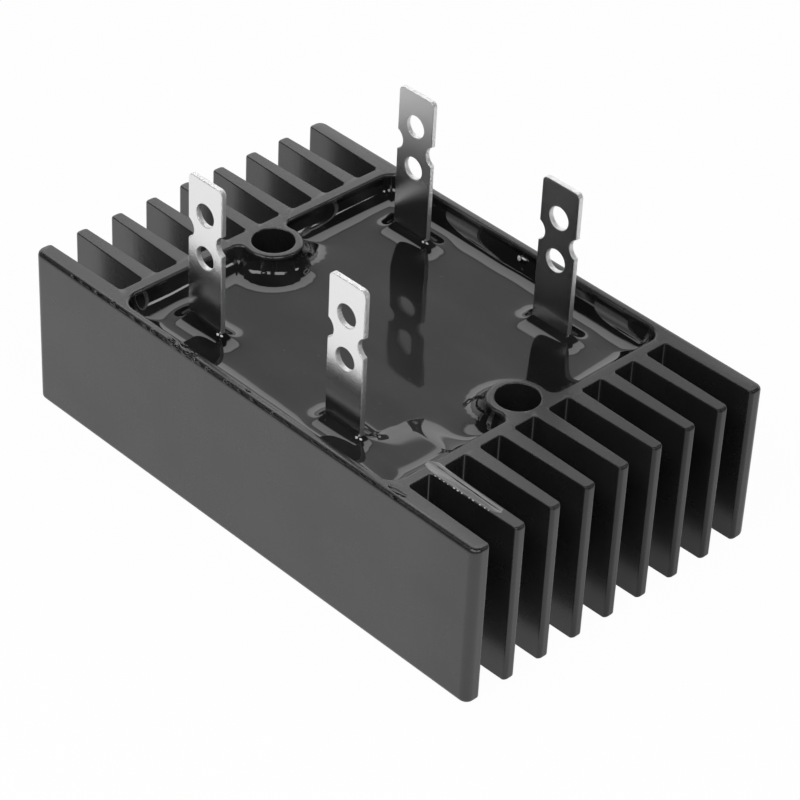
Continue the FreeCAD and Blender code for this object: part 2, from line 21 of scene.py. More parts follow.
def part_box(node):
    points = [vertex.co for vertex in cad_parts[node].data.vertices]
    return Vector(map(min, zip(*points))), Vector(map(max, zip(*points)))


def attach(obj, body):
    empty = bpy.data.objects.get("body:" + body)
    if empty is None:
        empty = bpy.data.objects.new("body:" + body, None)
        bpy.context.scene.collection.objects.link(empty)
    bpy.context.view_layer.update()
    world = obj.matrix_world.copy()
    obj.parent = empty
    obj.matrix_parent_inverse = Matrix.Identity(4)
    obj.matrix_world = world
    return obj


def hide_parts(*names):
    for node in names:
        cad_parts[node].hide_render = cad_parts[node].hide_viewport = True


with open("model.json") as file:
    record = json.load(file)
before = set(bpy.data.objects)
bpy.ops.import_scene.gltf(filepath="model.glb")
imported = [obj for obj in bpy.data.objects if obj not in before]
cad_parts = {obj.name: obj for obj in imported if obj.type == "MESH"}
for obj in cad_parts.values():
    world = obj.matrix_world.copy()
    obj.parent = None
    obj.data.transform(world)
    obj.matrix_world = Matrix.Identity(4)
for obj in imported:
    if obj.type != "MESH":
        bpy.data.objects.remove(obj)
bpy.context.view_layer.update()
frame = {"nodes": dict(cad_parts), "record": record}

MM = 0.001
ROOT = "root"
ARC_STEP = math.radians(11)
SHARP_ANGLE = math.radians(35)
CDT_INSIDE = 1
CDT_TOLERANCE = 1e-6
AREA_WEIGHT = 100
TONE_GRAINS = 8

Spot = tuple[float, float]
Point = tuple[float, float, float]
Colour = tuple[float, float, float]
Place = Callable[[np.ndarray], np.ndarray]
Socket = bpy.types.NodeSocket
log = logging.getLogger("bridge_rectifier")


class Slot(Enum):
    """Material slots of the record that the pieces take their finish from."""

    CASTING = "black_anodised_casting"
    RESIN = "black_epoxy"
    BLADE = "tinned_blade"
    CERAMIC = "alumina"
    BOND = "bond_adhesive"
    COPPER = "copper"
    SILICON = "silicon"
    SOLDER = "solder"


class Side(Enum):
    """Long side of the well that a terminal's foot points to."""

    FRONT = -1
    REAR = 1


def node_box(node: str) -> tuple[np.ndarray, np.ndarray]:
    """Lowest and highest corner of a CAD node.

    Args:
        node: Name of the node.

    Returns:
        The two corners in millimetres.
    """
    low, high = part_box(node)
    return np.array(low) / MM, np.array(high) / MM


def arc(centre: Spot, radius: float, start: float, end: float) -> list[Spot]:
    """Points along an arc, both ends included.

    Args:
        centre: Centre of the arc.
        radius: Radius of the arc.
        start: Angle of the first point.
        end: Angle of the last point; the arc turns left where it is the larger one.

    Returns:
        The points in order.
    """
    count = max(2, math.ceil(abs(end - start) / ARC_STEP) + 1)
    angles = np.linspace(start, end, count)
    return [(centre[0] + radius * math.cos(angle), centre[1] + radius * math.sin(angle)) for angle in angles]


def rounded_corner(before: Spot, apex: Spot, after: Spot, radius: float) -> list[Spot]:
    """Arc that rounds the corner of an outline.

    Args:
        before: A point on the side that arrives.
        apex: The corner itself.
        after: A point on the side that leaves.
        radius: Radius of the rounding.

    Returns:
        The arc's points, from the arriving side to the leaving one.
    """
    corner = Vector(apex)
    back = (Vector(before) - corner).normalized()
    ahead = (Vector(after) - corner).normalized()
    half_angle = back.angle(ahead) / 2
    centre = corner + (back + ahead).normalized() * (radius / math.sin(half_angle))
    start = corner + back * (radius / math.tan(half_angle)) - centre
    end = corner + ahead * (radius / math.tan(half_angle)) - centre
    first = math.atan2(start.y, start.x)
    turn = (math.atan2(end.y, end.x) - first + math.pi) % math.tau - math.pi
    return arc(tuple(centre), radius, first, first + turn)


def circle_hole(x: float, y: float, radius: float) -> np.ndarray:
    """Closed loop round a hole, with the material on its left.

    Args:
        x: Centre along the first axis.
        y: Centre along the second axis.
        radius: Radius of the hole.

    Returns:
        The loop's points.
    """
    return np.array(arc((x, y), radius, math.tau, 0)[:-1])


def inset(loop: np.ndarray, depth: np.ndarray | float) -> np.ndarray:
    """Closed loop moved to its left, into the material.

    Args:
        loop: Points of the loop.
        depth: Distance to move, for all points or for each.

    Returns:
        The moved points.
    """
    ahead = np.roll(loop, -1, axis=0) - loop
    ahead /= np.linalg.norm(ahead, axis=1)[:, None]
    back = np.roll(ahead, 1, axis=0)
    both = ahead + back
    left = np.stack([-both[:, 1], both[:, 0]], axis=1)
    miter = left / (1 + (ahead * back).sum(axis=1))[:, None]
    return loop + miter * np.broadcast_to(depth, len(loop))[:, None]


def densify(loop: np.ndarray, step: float) -> np.ndarray:
    """Closed loop with points added where two neighbours lie further apart than a step.

    Args:
        loop: Points of the loop.
        step: Largest distance between neighbours.

    Returns:
        The loop with its added points.
    """
    points = []
    for start, end in zip(loop, np.roll(loop, -1, axis=0)):
        parts = max(1, math.ceil(np.linalg.norm(end - start) / step))
        points += [start + (end - start) * share / parts for share in range(parts)]
    return np.array(points)


def round_over(radius: np.ndarray | float, steps: int) -> list[tuple[np.ndarray | float, ...]]:
    """Quarter circle from a wall to the flat beside it.

    Args:
        radius: Radius of the rounding, for all points or for each.
        steps: Number of strips.

    Returns:
        Pairs of the depth into the material and the drop below the flat.
    """
    angles = np.linspace(0, math.pi / 2, steps + 1)
    return [(radius * (1 - math.cos(angle)), radius * (1 - math.sin(angle))) for angle in angles]


class Shell:
    """Points and faces of one closed mesh while it grows."""

    def __init__(self) -> None:
        """Start with nothing."""
        self.points: list[Point] = []
        self.faces: list[list[int]] = []
        self.creases: set[tuple[int, int]] = set()

    def ring(self, loop: np.ndarray, height: np.ndarray | float) -> list[int]:
        """Add the points of a loop.

        Args:
            loop: Points in plan.
            height: Height of all points or of each.

        Returns:
            Indices of the new points.
        """
        first = len(self.points)
        heights = np.broadcast_to(height, len(loop))
        self.points += [(float(x), float(y), float(z)) for (x, y), z in zip(loop, heights)]
        return list(range(first, len(self.points)))

    def band(self, low: Sequence[int], high: Sequence[int]) -> None:
        """Join two rings of equal length by four-sided faces.

        Args:
            low: The lower ring, with the material on its left.
            high: The ring above it.
        """
        for index, (start, top) in enumerate(zip(low, high)):
            after = (index + 1) % len(low)
            self.faces.append([start, low[after], high[after], top])

    def rounded_walls(self, loop: np.ndarray, low: float, high: float, radius: float,
                      steps: int) -> tuple[list[int], list[int]]:
        """Wall along a loop with both rims rounded.

        Args:
            loop: The loop, with the material on its left.
            low: Height of the lower flat.
            high: Height of the upper flat.
            radius: Radius of both rims.
            steps: Strips in each rim.

        Returns:
            The rings at the lower and the upper flat.
        """
        profile = round_over(radius, steps)
        rings = [self.ring(inset(loop, depth), low + drop) for depth, drop in reversed(profile)]
        rings += [self.ring(inset(loop, depth), high - drop) for depth, drop in profile]
        for lower, upper in zip(rings, rings[1:]):
            self.band(lower, upper)
        return rings[0], rings[-1]

    def cap(self, rings: Sequence[Sequence[int]], up: bool, loose: Sequence[int] = ()) -> None:
        """Fill an outline and leave its holes open.

        Args:
            rings: The outline and then its holes, as indices.
            up: Whether the faces look up.
            loose: Points inside the outline that the faces use too.
        """
        index: list[int] = []
        edges: list[tuple[int, int]] = []
        for ring in rings:
            first = len(index)
            index += ring
            edges += [(first + spot, first + (spot + 1) % len(ring)) for spot in range(len(ring))]
        index += loose
        plan = np.array(self.points)[:, :2]
        spots = [Vector(spot) for spot in plan[index]]
        _, _, found, origin, *_ = delaunay_2d_cdt(spots, edges, [], CDT_INSIDE, CDT_TOLERANCE)
        triangles = np.array([[index[origin[vertex][0]] for vertex in face] for face in found])
        centres = plan[triangles].mean(axis=1)
        kept = inside_loop(centres, plan[list(rings[0])])
        for ring in rings[1:]:
            kept &= ~inside_loop(centres, plan[list(ring)])
        self.faces += (triangles if up else triangles[:, ::-1])[kept].tolist()

    def hoop(self, points: np.ndarray) -> list[int]:
        """Add a closed row of points that stands free in space.

        Args:
            points: The points.

        Returns:
            Indices of the new points.
        """
        first = len(self.points)
        self.points += [tuple(float(value) for value in point) for point in points]
        return list(range(first, len(self.points)))

    def crease(self, ring: Sequence[int]) -> None:
        """Keep the edges of a ring sharp, so that the flat inside it shades flat."""
        self.creases.update(tuple(sorted(pair)) for pair in zip(ring, [*ring[1:], ring[0]]))

    def make(self, name: str, place: Place | None = None) -> bpy.types.Mesh:
        """Turn the shell into a smooth mesh in metres.

        Args:
            name: Name of the mesh.
            place: Moves the points to where the piece belongs, where they aren't there yet.

        Returns:
            The mesh, with its sharp edges marked.
        """
        points = np.array(self.points)
        if place is not None:
            points = place(points)
        mesh = bpy.data.meshes.new(name)
        mesh.from_pydata((points * MM).tolist(), [], self.faces)
        mesh.validate()
        mesh.polygons.foreach_set("use_smooth", [True] * len(mesh.polygons))
        mesh.set_sharp_from_angle(angle=SHARP_ANGLE)
        for edge in mesh.edges:
            if tuple(sorted(edge.vertices)) in self.creases:
                edge.use_edge_sharp = True
        return mesh


class Nodes:
    """Node tree that grows by nodes whose sockets take links and plain values alike."""

    def __init__(self, tree: bpy.types.NodeTree) -> None:
        """Work on an existing tree."""
        self.tree = tree

    def feed(self, socket: Socket, source: object) -> None:
        """Link a socket to another one, or give it a value.

        Args:
            socket: The socket.
            source: The other socket or the value.
        """
        if isinstance(source, Socket):
            self.tree.links.new(source, socket)
        else:
            socket.default_value = source

    def add(self, kind: str, inputs: dict[str | int, object], **settings: object) -> bpy.types.Node:
        """Add a node.

        Args:
            kind: Type of the node, without its common prefix.
            inputs: Sources or values of its sockets.
            settings: Properties of the node.

        Returns:
            The node.
        """
        node = self.tree.nodes.new("ShaderNode" + kind)
        for name, setting in settings.items():
            setattr(node, name, setting)
        for socket, source in inputs.items():
            self.feed(node.inputs[socket], source)
        return node

    def compute(self, operation: str, first: object, second: object = 0.0, third: object = 0.0) -> Socket:
        """Result of one operation on two or three numbers."""
        return self.add("Math", {0: first, 1: second, 2: third}, operation=operation).outputs[0]

    def blend(self, factor: object, first: bpy.types.Node, second: bpy.types.Node) -> bpy.types.Node:
        """Shader that is a blend of two others; the factor is the second one's share."""
        return self.add("MixShader", {0: factor, 1: first.outputs[0], 2: second.outputs[0]})

    def between(self, factor: Socket, low: float, high: float, start: float = 0.3, end: float = 0.7,
                course: str = "LINEAR") -> Socket:
        """Number that goes from one value to another as a factor grows.

        Args:
            factor: The factor.
            low: Value at the start.
            high: Value at the end.
            start: Factor where the change begins.
            end: Factor where it is complete.
            course: How it changes in between.

        Returns:
            The number.
        """
        inputs = {"Value": factor, "From Min": start, "From Max": end, "To Min": low, "To Max": high}
        return self.add("MapRange", inputs, interpolation_type=course).outputs["Result"]


class Recipe(Nodes):
    """Node tree of one procedural finish, laid out in the object's own coordinates."""

    def __init__(self, name: str) -> None:
        """Start from a bare Principled shader.

        Args:
            name: Name of the material.
        """
        self.material = bpy.data.materials.new(name)
        self.material.use_nodes = True
        super().__init__(self.material.node_tree)
        self.surface = self.tree.nodes["Principled BSDF"]
        self.coordinates = self.tree.nodes.new("ShaderNodeTexCoord")

    def set(self, **inputs: object) -> None:
        """Set sockets of the shader; a socket's name has underscores for its spaces."""
        for name, source in inputs.items():
            self.feed(self.surface.inputs[name.replace("_", " ")], source)

    def noise(self, size: float, detail: float = 2.0, stretch: Point = (1, 1, 1)) -> Socket:
        """Noise in the object's coordinates.

        Args:
            size: Size of its largest features.
            detail: Octaves of finer features.
            stretch: How much longer the features are along each axis.

        Returns:
            Its value, about 0 to 1.
        """
        shrink = tuple(1 / longer for longer in stretch)
        place = self.coordinates.outputs["Object"]
        scaled = self.add("VectorMath", {0: place, 1: shrink}, operation="MULTIPLY")
        inputs = {"Vector": scaled.outputs[0], "Scale": 1 / (size * MM), "Detail": detail}
        return self.add("TexNoise", inputs).outputs["Fac"]

    def split(self, kind: str) -> Sequence[Socket]:
        """Three components of the object's coordinates or of its normal."""
        return self.add("SeparateXYZ", {0: self.coordinates.outputs[kind]}).outputs

    def shade(self, factor: Socket, low: Colour, high: Colour, start: float = 0.35,
              end: float = 0.65) -> Socket:
        """Colour that goes from one to another as a factor grows.

        Args:
            factor: The factor.
            low: Colour at the start.
            high: Colour at the end.
            start: Factor where the change begins.
            end: Factor where it is complete.

        Returns:
            The colour.
        """
        ramp = self.add("ValToRGB", {"Fac": factor})
        for element, position, colour in zip(ramp.color_ramp.elements, (start, end), (low, high)):
            element.position = position
            element.color = (*colour, 1)
        return ramp.outputs["Color"]

    def mix(self, factor: Socket, first: object, second: object) -> Socket:
        """Blend of two numbers by a factor."""
        return self.add("Mix", {0: factor, 2: first, 3: second}, data_type="FLOAT").outputs[0]

    def bump(self, height: Socket, depth: float, under: Socket | None = None) -> Socket:
        """Normal of a surface with small relief.

        Args:
            height: Height of the relief from 0 to 1.
            depth: Its depth in millimetres.
            under: Normal of the relief below it.

        Returns:
            The normal.
        """
        inputs = {"Height": height, "Distance": depth * MM, "Strength": 1.0}
        if under is not None:
            inputs["Normal"] = under
        return self.add("Bump", inputs).outputs["Normal"]


def grey(level: float) -> Colour:
    """Neutral colour of one level."""
    return (level, level, level)


@dataclass(frozen=True)
class CastingFinish:
    """Black satin coat on die-cast metal, with fine grain, faint drag marks from the die, and painted shade
    that dims its sheen towards the right end.
    """

    slot: Slot = Slot.CASTING
    dark: float = 0.010
    light: float = 0.016
    gloss: float = 0.95
    # Painted shade: the sheen fades to this share over this span of x plus y, towards the right end.
    painted_shade_gloss: float = 0.42
    worn: tuple[float, float] = (5.0, 45.0)
    smooth: float = 0.24
    rough: float = 0.31
    mottle_size: float = 9.0
    grain_size: float = 0.22
    grain_depth: float = 0.006
    drag_size: float = 0.7
    drag_length: float = 14.0
    drag_depth: float = 0.010

    def make(self) -> bpy.types.Material:
        """Build the material.

        Returns:
            The material.
        """
        recipe = Recipe(self.slot.value)
        mottle = recipe.noise(self.mottle_size, detail=4.0)
        grain = recipe.noise(self.grain_size, detail=3.0)
        drag = recipe.noise(self.drag_size, detail=2.0, stretch=(1, 1, self.drag_length))
        relief = recipe.bump(drag, self.drag_depth)
        x, y, _ = recipe.split("Object")
        start, end = (place * MM for place in self.worn)
        recipe.set(
            Base_Color=recipe.shade(mottle, grey(self.dark), grey(self.light), start=0.3, end=0.7),
            Roughness=recipe.between(mottle, self.rough, self.smooth),
            Specular_IOR_Level=self.gloss,
            # Specular tint that falls towards the right end: painted shade that darkens the sheen there.
            Specular_Tint=recipe.between(recipe.compute("ADD", x, y), 1.0, self.painted_shade_gloss, start, end),
            Normal=recipe.bump(grain, self.grain_depth, relief),
        )
        return recipe.material


@dataclass(frozen=True)
class ResinFinish:
    """Cured glossy potting resin, almost black, with soft clouds and a trace of dust."""

    slot: Slot = Slot.RESIN
    body: float = 0.003
    cloud: float = 0.015
    dust: float = 0.03
    smooth: float = 0.03
    rough: float = 0.07
    haze_size: float = 6.0
    cloud_size: float = 6.5
    cloud_length: float = 2.6
    cloud_range: tuple[float, float] = (0.40, 0.72)
    dust_size: float = 0.5
    dust_range: tuple[float, float] = (0.70, 0.80)
    refraction: float = 1.52

    def make(self) -> bpy.types.Material:
        """Build the material.

        Returns:
            The material.
        """
        recipe = Recipe(self.slot.value)
        haze = recipe.noise(self.haze_size, detail=3.0)
        specks = recipe.between(recipe.noise(self.dust_size, detail=1.0), 0.0, self.dust, *self.dust_range)
        drift = recipe.noise(self.cloud_size, detail=3.0, stretch=(self.cloud_length, 1, 1))
        clouds = recipe.between(drift, self.body, self.cloud, *self.cloud_range)
        recipe.set(
            Base_Color=recipe.compute("MAXIMUM", specks, clouds),
            Roughness=recipe.between(haze, self.smooth, self.rough),
            IOR=self.refraction,
        )
        return recipe.material


@dataclass(frozen=True)
class SkinFinish:
    """Resin that dried in a thin greyish layer, streaked along the wipe; a paler one paints glints on beads.
    """

    name: str = "resin_skin"
    dark: float = 0.10
    light: float = 0.24
    smooth: float = 0.22
    rough: float = 0.4
    streak_size: float = 0.5
    streak_length: float = 9.0
    streak_depth: float = 0.02

    def make(self) -> bpy.types.Material:
        """Build the material.

        Returns:
            The material.
        """
        recipe = Recipe(self.name)
        streaks = recipe.noise(self.streak_size, detail=3.0, stretch=(self.streak_length, 1, 1))
        recipe.set(
            Base_Color=recipe.shade(streaks, grey(self.dark), grey(self.light)),
            Roughness=recipe.between(streaks, self.rough, self.smooth),
            Normal=recipe.bump(streaks, self.streak_depth),
        )
        return recipe.material


@dataclass(frozen=True)
class BladeFinish:
    """Bright tin plate: rolling grain on the faces, coarse sheared edges and, on some, a dull veil."""

    name: str = "tin"
    face: float = 0.90
    edge: float = 0.82
    face_rough: float = 0.20
    edge_rough: float = 0.34
    edge_metal: float = 0.88
    grain_size: float = 0.24
    grain_length: float = 1.4
    grain_depth: float = 0.011
    shear_size: float = 0.30
    shear_depth: float = 0.16
    edge_start: float = 0.75
    edge_end: float = 0.95
    veil: float = 0.0
    veil_rough: float = 0.20
    veil_from: float = 29.0
    veil_to: float = 43.5

    def make(self) -> bpy.types.Material:
        """Build the material.

        Returns:
            The material.
        """
        recipe = Recipe(self.name)
        across = recipe.compute("ABSOLUTE", recipe.split("Normal")[1])
        facing = recipe.between(across, 0.0, 1.0, self.edge_start, self.edge_end)
        veiled = recipe.between(recipe.split("Object")[2], 0.0, 1.0, self.veil_from * MM, self.veil_to * MM)
        metal = recipe.between(veiled, 1.0, 1 - self.veil, 0.0, 1.0)
        rough = recipe.between(veiled, self.face_rough, self.veil_rough, 0.0, 1.0)
        grain = recipe.noise(self.grain_size, detail=3.0, stretch=(1, 1, self.grain_length))
        shear = recipe.noise(self.shear_size, detail=2.0)
        depth = recipe.mix(facing, self.shear_depth, self.grain_depth)
        relief = recipe.compute("MULTIPLY", recipe.mix(facing, shear, grain), depth)
        recipe.set(
            Base_Color=recipe.shade(facing, grey(self.edge), grey(self.face), start=0.0, end=1.0),
            Metallic=recipe.mix(facing, self.edge_metal, metal),
            Roughness=recipe.mix(facing, self.edge_rough, rough),
            Normal=recipe.bump(relief, 1.0),
        )
        return recipe.material


@dataclass(frozen=True)
class InnerFinish:
    """Finish of a piece that lies under the resin."""

    slot: Slot
    dark: Colour
    light: Colour
    metallic: float
    smooth: float
    rough: float
    grain_size: float
    grain_depth: float
    grain_length: float = 1.0

    def make(self) -> bpy.types.Material:
        """Build the material.

        Returns:
            The material.
        """
        recipe = Recipe(self.slot.value)
        tone = recipe.noise(self.grain_size * TONE_GRAINS, detail=3.0)
        grain = recipe.noise(self.grain_size, detail=2.0, stretch=(self.grain_length, 1, 1))
        recipe.set(
            Base_Color=recipe.shade(tone, self.dark, self.light),
            Metallic=self.metallic,
            Roughness=recipe.between(tone, self.smooth, self.rough),
            Normal=recipe.bump(grain, self.grain_depth),
        )
        return recipe.material


CERAMIC = InnerFinish(
    Slot.CERAMIC, dark=(0.80, 0.79, 0.76), light=(0.90, 0.89, 0.87), metallic=0.0,
    smooth=0.55, rough=0.7, grain_size=0.12, grain_depth=0.004)
BOND = InnerFinish(
    Slot.BOND, dark=(0.40, 0.40, 0.39), light=(0.50, 0.50, 0.49), metallic=0.0,
    smooth=0.6, rough=0.75, grain_size=0.25, grain_depth=0.02)
COPPER = InnerFinish(
    Slot.COPPER, dark=(0.70, 0.36, 0.24), light=(0.84, 0.47, 0.34), metallic=1.0,
    smooth=0.22, rough=0.38, grain_size=0.08, grain_depth=0.003, grain_length=12.0)
SILICON = InnerFinish(
    Slot.SILICON, dark=(0.13, 0.14, 0.17), light=(0.19, 0.20, 0.24), metallic=0.6,
    smooth=0.10, rough=0.18, grain_size=0.3, grain_depth=0.001)
SOLDER = InnerFinish(
    Slot.SOLDER, dark=(0.52, 0.52, 0.53), light=(0.68, 0.68, 0.69), metallic=1.0,
    smooth=0.25, rough=0.45, grain_size=0.35, grain_depth=0.02)


def add_piece(name: str, mesh: bpy.types.Mesh, material: bpy.types.Material, slot: Slot,
              stands_for: Sequence[str] = ()) -> bpy.types.Object:
    """Add a piece of the object to the scene.

    Args:
        name: Name of the piece.
        mesh: Its mesh, in place.
        material: Its finish.
        slot: Slot of the record that the finish belongs to.
        stands_for: CAD nodes that it is shown for.

    Returns:
        The piece.
    """
    mesh.materials.append(material)
    piece = bpy.data.objects.new(name, mesh)
    bpy.context.scene.collection.objects.link(piece)
    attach(piece, ROOT)
    if stands_for:
        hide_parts(*stands_for)
    log.info("%s: %d faces, %s", name, len(mesh.polygons), slot.value)
    return piece


def even_normals(piece: bpy.types.Object) -> None:
    """Let a piece's flats keep their own normals beside its rounded edges.

    Args:
        piece: The piece.
    """
    modifier = piece.modifiers.new("even_normals", "WEIGHTED_NORMAL")
    modifier.keep_sharp = True
    modifier.weight = AREA_WEIGHT


@dataclass
class Well:
    """Plan of the potted well: a rounded rectangle with a boss at the middle of each end wall."""

    half_x: float
    half_y: float
    floor: float
    hole_x: float
    hole_radius: float
    corner: float = 2.5
    boss_radius: float = 4.2
    boss_blend: float = 1.2

    @classmethod
    def from_frame(cls) -> "Well":
        """Read the well's size from the resin that fills it and the hole spacing from the record.

        Returns:
            The well.
        """
        low, high = node_box("potting")
        screws = next(mount for mount in frame["record"]["mounts"] if mount["name"] == "body_screws")
        dims = screws["dims"]
        return cls(high[0], high[1], low[2], dims["spacing_x_mm"] / 2, dims["hole_r_mm"])

    def loop(self) -> np.ndarray:
        """Closed loop along the well's wall, with the casting on its left.

        Returns:
            The loop's points.
        """
        middle_x, middle_y = self.half_x - self.corner, self.half_y - self.corner
        reach = self.boss_radius + self.boss_blend
        blend_x = self.half_x - self.boss_blend
        blend_y = math.sqrt(reach ** 2 - (blend_x - self.hole_x) ** 2)
        lean = math.atan2(blend_y, blend_x - self.hole_x)
        half = arc((middle_x, middle_y), self.corner, math.pi / 2, 0)
        half += arc((blend_x, blend_y), self.boss_blend, 0, lean - math.pi)
        half += arc((self.hole_x, 0), self.boss_radius, lean, math.tau - lean)[1:-1]
        half += arc((blend_x, -blend_y), self.boss_blend, math.pi - lean, 0)
        half += arc((middle_x, -middle_y), self.corner, 0, -math.pi / 2)
        right = np.array(half)
        return np.concatenate([right, -right])


@dataclass(frozen=True)
class Fin:
    """One fin in plan: the Y of its two sides at the root and at the tip, and how its tip corners round."""

    low_root: float
    low_tip: float
    high_root: float
    high_tip: float
    low_round: float
    high_round: float


@dataclass
class Comb:
    """Outline of the casting in plan: a column for each point, and the columns of each tip and slot root.

    The mesh points at the top of the walls and, by column, at the ceiling of the channels come later.
    """

    plan: np.ndarray
    tips: list[range]
    roots: list[range]
    top: list[int] = field(default_factory=list)
    middle: dict[int, int] = field(default_factory=dict)


@dataclass
class Casting:
    """Finned block with the well, the bosses and the channels that run on under the well's floor."""

    well: Well
    length: float
    width: float
    height: float
    pitch: float = 6.13
    inner_slots: int = 6
    fin_root: float = 2.31
    fin_tip: float = 1.72
    side_root: float = 2.94
    side_tip: float = 2.63
    tip_round: float = 0.6
    root_round: float = 0.5
    corner_round: float = 1.3
    outer_edge: float = 0.8
    tip_edge: float = 0.5
    slot_edge: float = 0.16
    rim_edge: float = 0.5
    hole_edge: float = 0.2
    end_wall: float = 1.8
    floor_thick: float = 3.0
    edge_steps: int = 4

    @classmethod
    def from_frame(cls, well: Well) -> "Casting":
        """Read the envelope from the CAD node."""
        low, high = node_box("heatsink")
        return cls(well, *(high - low))

    @property
    def ceiling(self) -> float:
        """Height of the channels' ceiling, the lower face of the well's floor."""
        return self.well.floor - self.floor_thick

    def fins(self) -> list[Fin]:
        """All fins from the front side plate to the rear one.

        Returns:
            The fins in order.
        """
        half, tip = self.width / 2, self.tip_round
        inner = []
        for number in range(self.inner_slots + 1):
            y = (number - self.inner_slots / 2) * self.pitch
            root, end = self.fin_root / 2, self.fin_tip / 2
            inner.append(Fin(y - root, y - end, y + root, y + end, tip, tip))
        front = Fin(-half, -half, self.side_root - half, self.side_tip - half, self.corner_round, tip)
        rear = Fin(half - self.side_root, half - self.side_tip, half, half, tip, self.corner_round)
        return [front, *inner, rear]

    def edge_radius(self, loop: np.ndarray) -> np.ndarray:
        """Radius of the level edges at each point: small in the slots, larger at tips and outer faces.

        Args:
            loop: Points in plan.

        Returns:
            One radius for each point.
        """
        end = np.clip((np.abs(loop[:, 0]) - self.length / 2 + self.tip_round) / self.tip_round, 0, 1)
        side = np.clip((np.abs(loop[:, 1]) - self.width / 2 + self.corner_round) / self.corner_round, 0, 1)
        radius = self.slot_edge + (self.tip_edge - self.slot_edge) * end
        return radius + (self.outer_edge - radius) * side

    def comb(self) -> Comb:
        """Outline of both ends: the tips of the fins, and the slot roots between them.

        Returns:
            The outline, with the columns that each tip and each root takes.
        """
        tip_x = self.length / 2
        root_x = self.well.half_x + self.end_wall
        fins = self.fins()
        columns: list[Spot] = []
        tips, roots = [], []
        for fin, after in zip(fins, [*fins[1:], None]):
            low, high = (tip_x, fin.low_tip), (tip_x, fin.high_tip)
            path = rounded_corner((root_x, fin.low_root), low, high, fin.low_round)
            path += rounded_corner(low, high, (root_x, fin.high_root), fin.high_round)
            tips.append(range(len(columns), len(columns) + len(path)))
            columns += path
            if after is None:
                break
            low, high = (root_x, fin.high_root), (root_x, after.low_root)
            path = rounded_corner((tip_x, fin.high_tip), low, high, self.root_round)
            path += rounded_corner(low, high, (tip_x, after.low_tip), self.root_round)
            roots.append(range(len(columns), len(columns) + len(path)))
            columns += path
        right, count = np.array(columns), len(columns)
        for spans in (tips, roots):
            spans += [range(span.start + count, span.stop + count) for span in spans]
        return Comb(np.concatenate([right, -right]), tips, roots)

    def boss_bulges(self) -> np.ndarray:
        """Points that the two bosses add to the middle fin's rear side under the floor, from right to left.

        Returns:
            The points.
        """
        lean = math.asin(self.fin_root / 2 / self.well.boss_radius)
        bulges = []
        for x in (self.well.hole_x, -self.well.hole_x):
            bulges += arc((x, 0), self.well.boss_radius, lean, math.pi - lean)
        return np.array(bulges)

    def build(self, material: bpy.types.Material) -> None:
        """Make the casting as one closed mesh that is shown for the CAD node.

        Args:
            material: Finish of the casting.
        """
        shell, comb = Shell(), self.comb()
        outline = self.build_sides(shell, comb)
        bulges = {side: shell.ring(side * self.boss_bulges(), self.ceiling) for side in (1, -1)}
        holes = []
        for x in (self.well.hole_x, -self.well.hole_x):
            loop = circle_hole(x, 0, self.well.hole_radius)
            holes.append(shell.rounded_walls(loop, 0, self.height, self.hole_edge, self.edge_steps))
        fin_count = len(comb.tips) // 2
        centre = fin_count // 2
        for number in range(fin_count):
            if number == centre:
                self.build_fin(shell, number, comb, bulges, [low for low, _ in holes])
            else:
                self.build_fin(shell, number, comb, {}, [])
        self.build_ceilings(shell, comb, centre, bulges)
        self.build_top(shell, [outline, *(high for _, high in holes)])
        even_normals(add_piece("casting", shell.make("casting"), material, Slot.CASTING, ["heatsink"]))

    def build_sides(self, shell: Shell, comb: Comb) -> list[int]:
        """Upper edge of the whole outline, and the walls at the slots' roots.

        Args:
            shell: The mesh that they belong to.
            comb: Outline of the casting, which takes note of its points here.

        Returns:
            The outline of the top face.
        """
        rings = [shell.ring(inset(comb.plan, depth), self.height - drop)
                 for depth, drop in round_over(self.edge_radius(comb.plan), self.edge_steps)]
        for lower, upper in zip(rings, rings[1:]):
            shell.band(lower, upper)
        top, middle = rings[0], comb.middle
        comb.top = top
        for span in comb.roots:
            ring = shell.ring(comb.plan[span.start:span.stop], self.ceiling)
            middle.update(zip(span, ring))
            for column in span[:-1]:
                shell.faces.append([middle[column], middle[column + 1], top[column + 1], top[column]])
        return rings[-1]

    def build_ceilings(self, shell: Shell, comb: Comb, centre: int, bulges: dict[int, list[int]]) -> None:
        """Ceilings of the channels that run on under the well's floor, between the fins.

        Args:
            shell: The mesh that they belong to.
            comb: Outline of the casting.
            centre: Place of the fin that carries the bosses.
            bulges: Points of the bosses on each side of it.
        """
        for number in range(len(comb.roots) // 2):
            ring = [comb.middle[column] for column in comb.roots[number]]
            if number + 1 == centre:
                ring += bulges[-1][::-1]
            ring += [comb.middle[column] for column in comb.roots[-1 - number]]
            if number == centre:
                ring += bulges[1][::-1]
            shell.cap([ring], up=False)

    def build_top(self, shell: Shell, rings: list[list[int]]) -> None:
        """Well and the top face round it.

        Args:
            shell: The mesh that they belong to.
            rings: Outline of the top face and the rims of the mounting holes.
        """
        loop = self.well.loop()
        rim = [shell.ring(inset(loop, depth), self.height - drop)
               for depth, drop in round_over(self.rim_edge, self.edge_steps)]
        floor = shell.ring(loop, self.well.floor)
        for lower, upper in zip([floor, *rim], rim):
            shell.band(lower, upper)
        shell.cap([floor], up=True)
        shell.cap([*rings, rim[-1]], up=True)

    def build_fin(self, shell: Shell, number: int, comb: Comb, bulges: dict[int, list[int]],
                  holes: list[list[int]]) -> None:
        """Sides, lower edge and underside of one fin.

        Args:
            shell: The mesh that it belongs to.
            number: Its place in the row.
            comb: Outline of the casting.
            bulges: Points of the bosses at the ceiling on each side, for the fin that carries them.
            holes: Lower rings of the mounting holes, for the same fin.
        """
        fin_count, slot_count = len(comb.tips) // 2, len(comb.roots) // 2
        loop: list[np.ndarray] = []
        walls: list[tuple[int | None, int | None]] = []

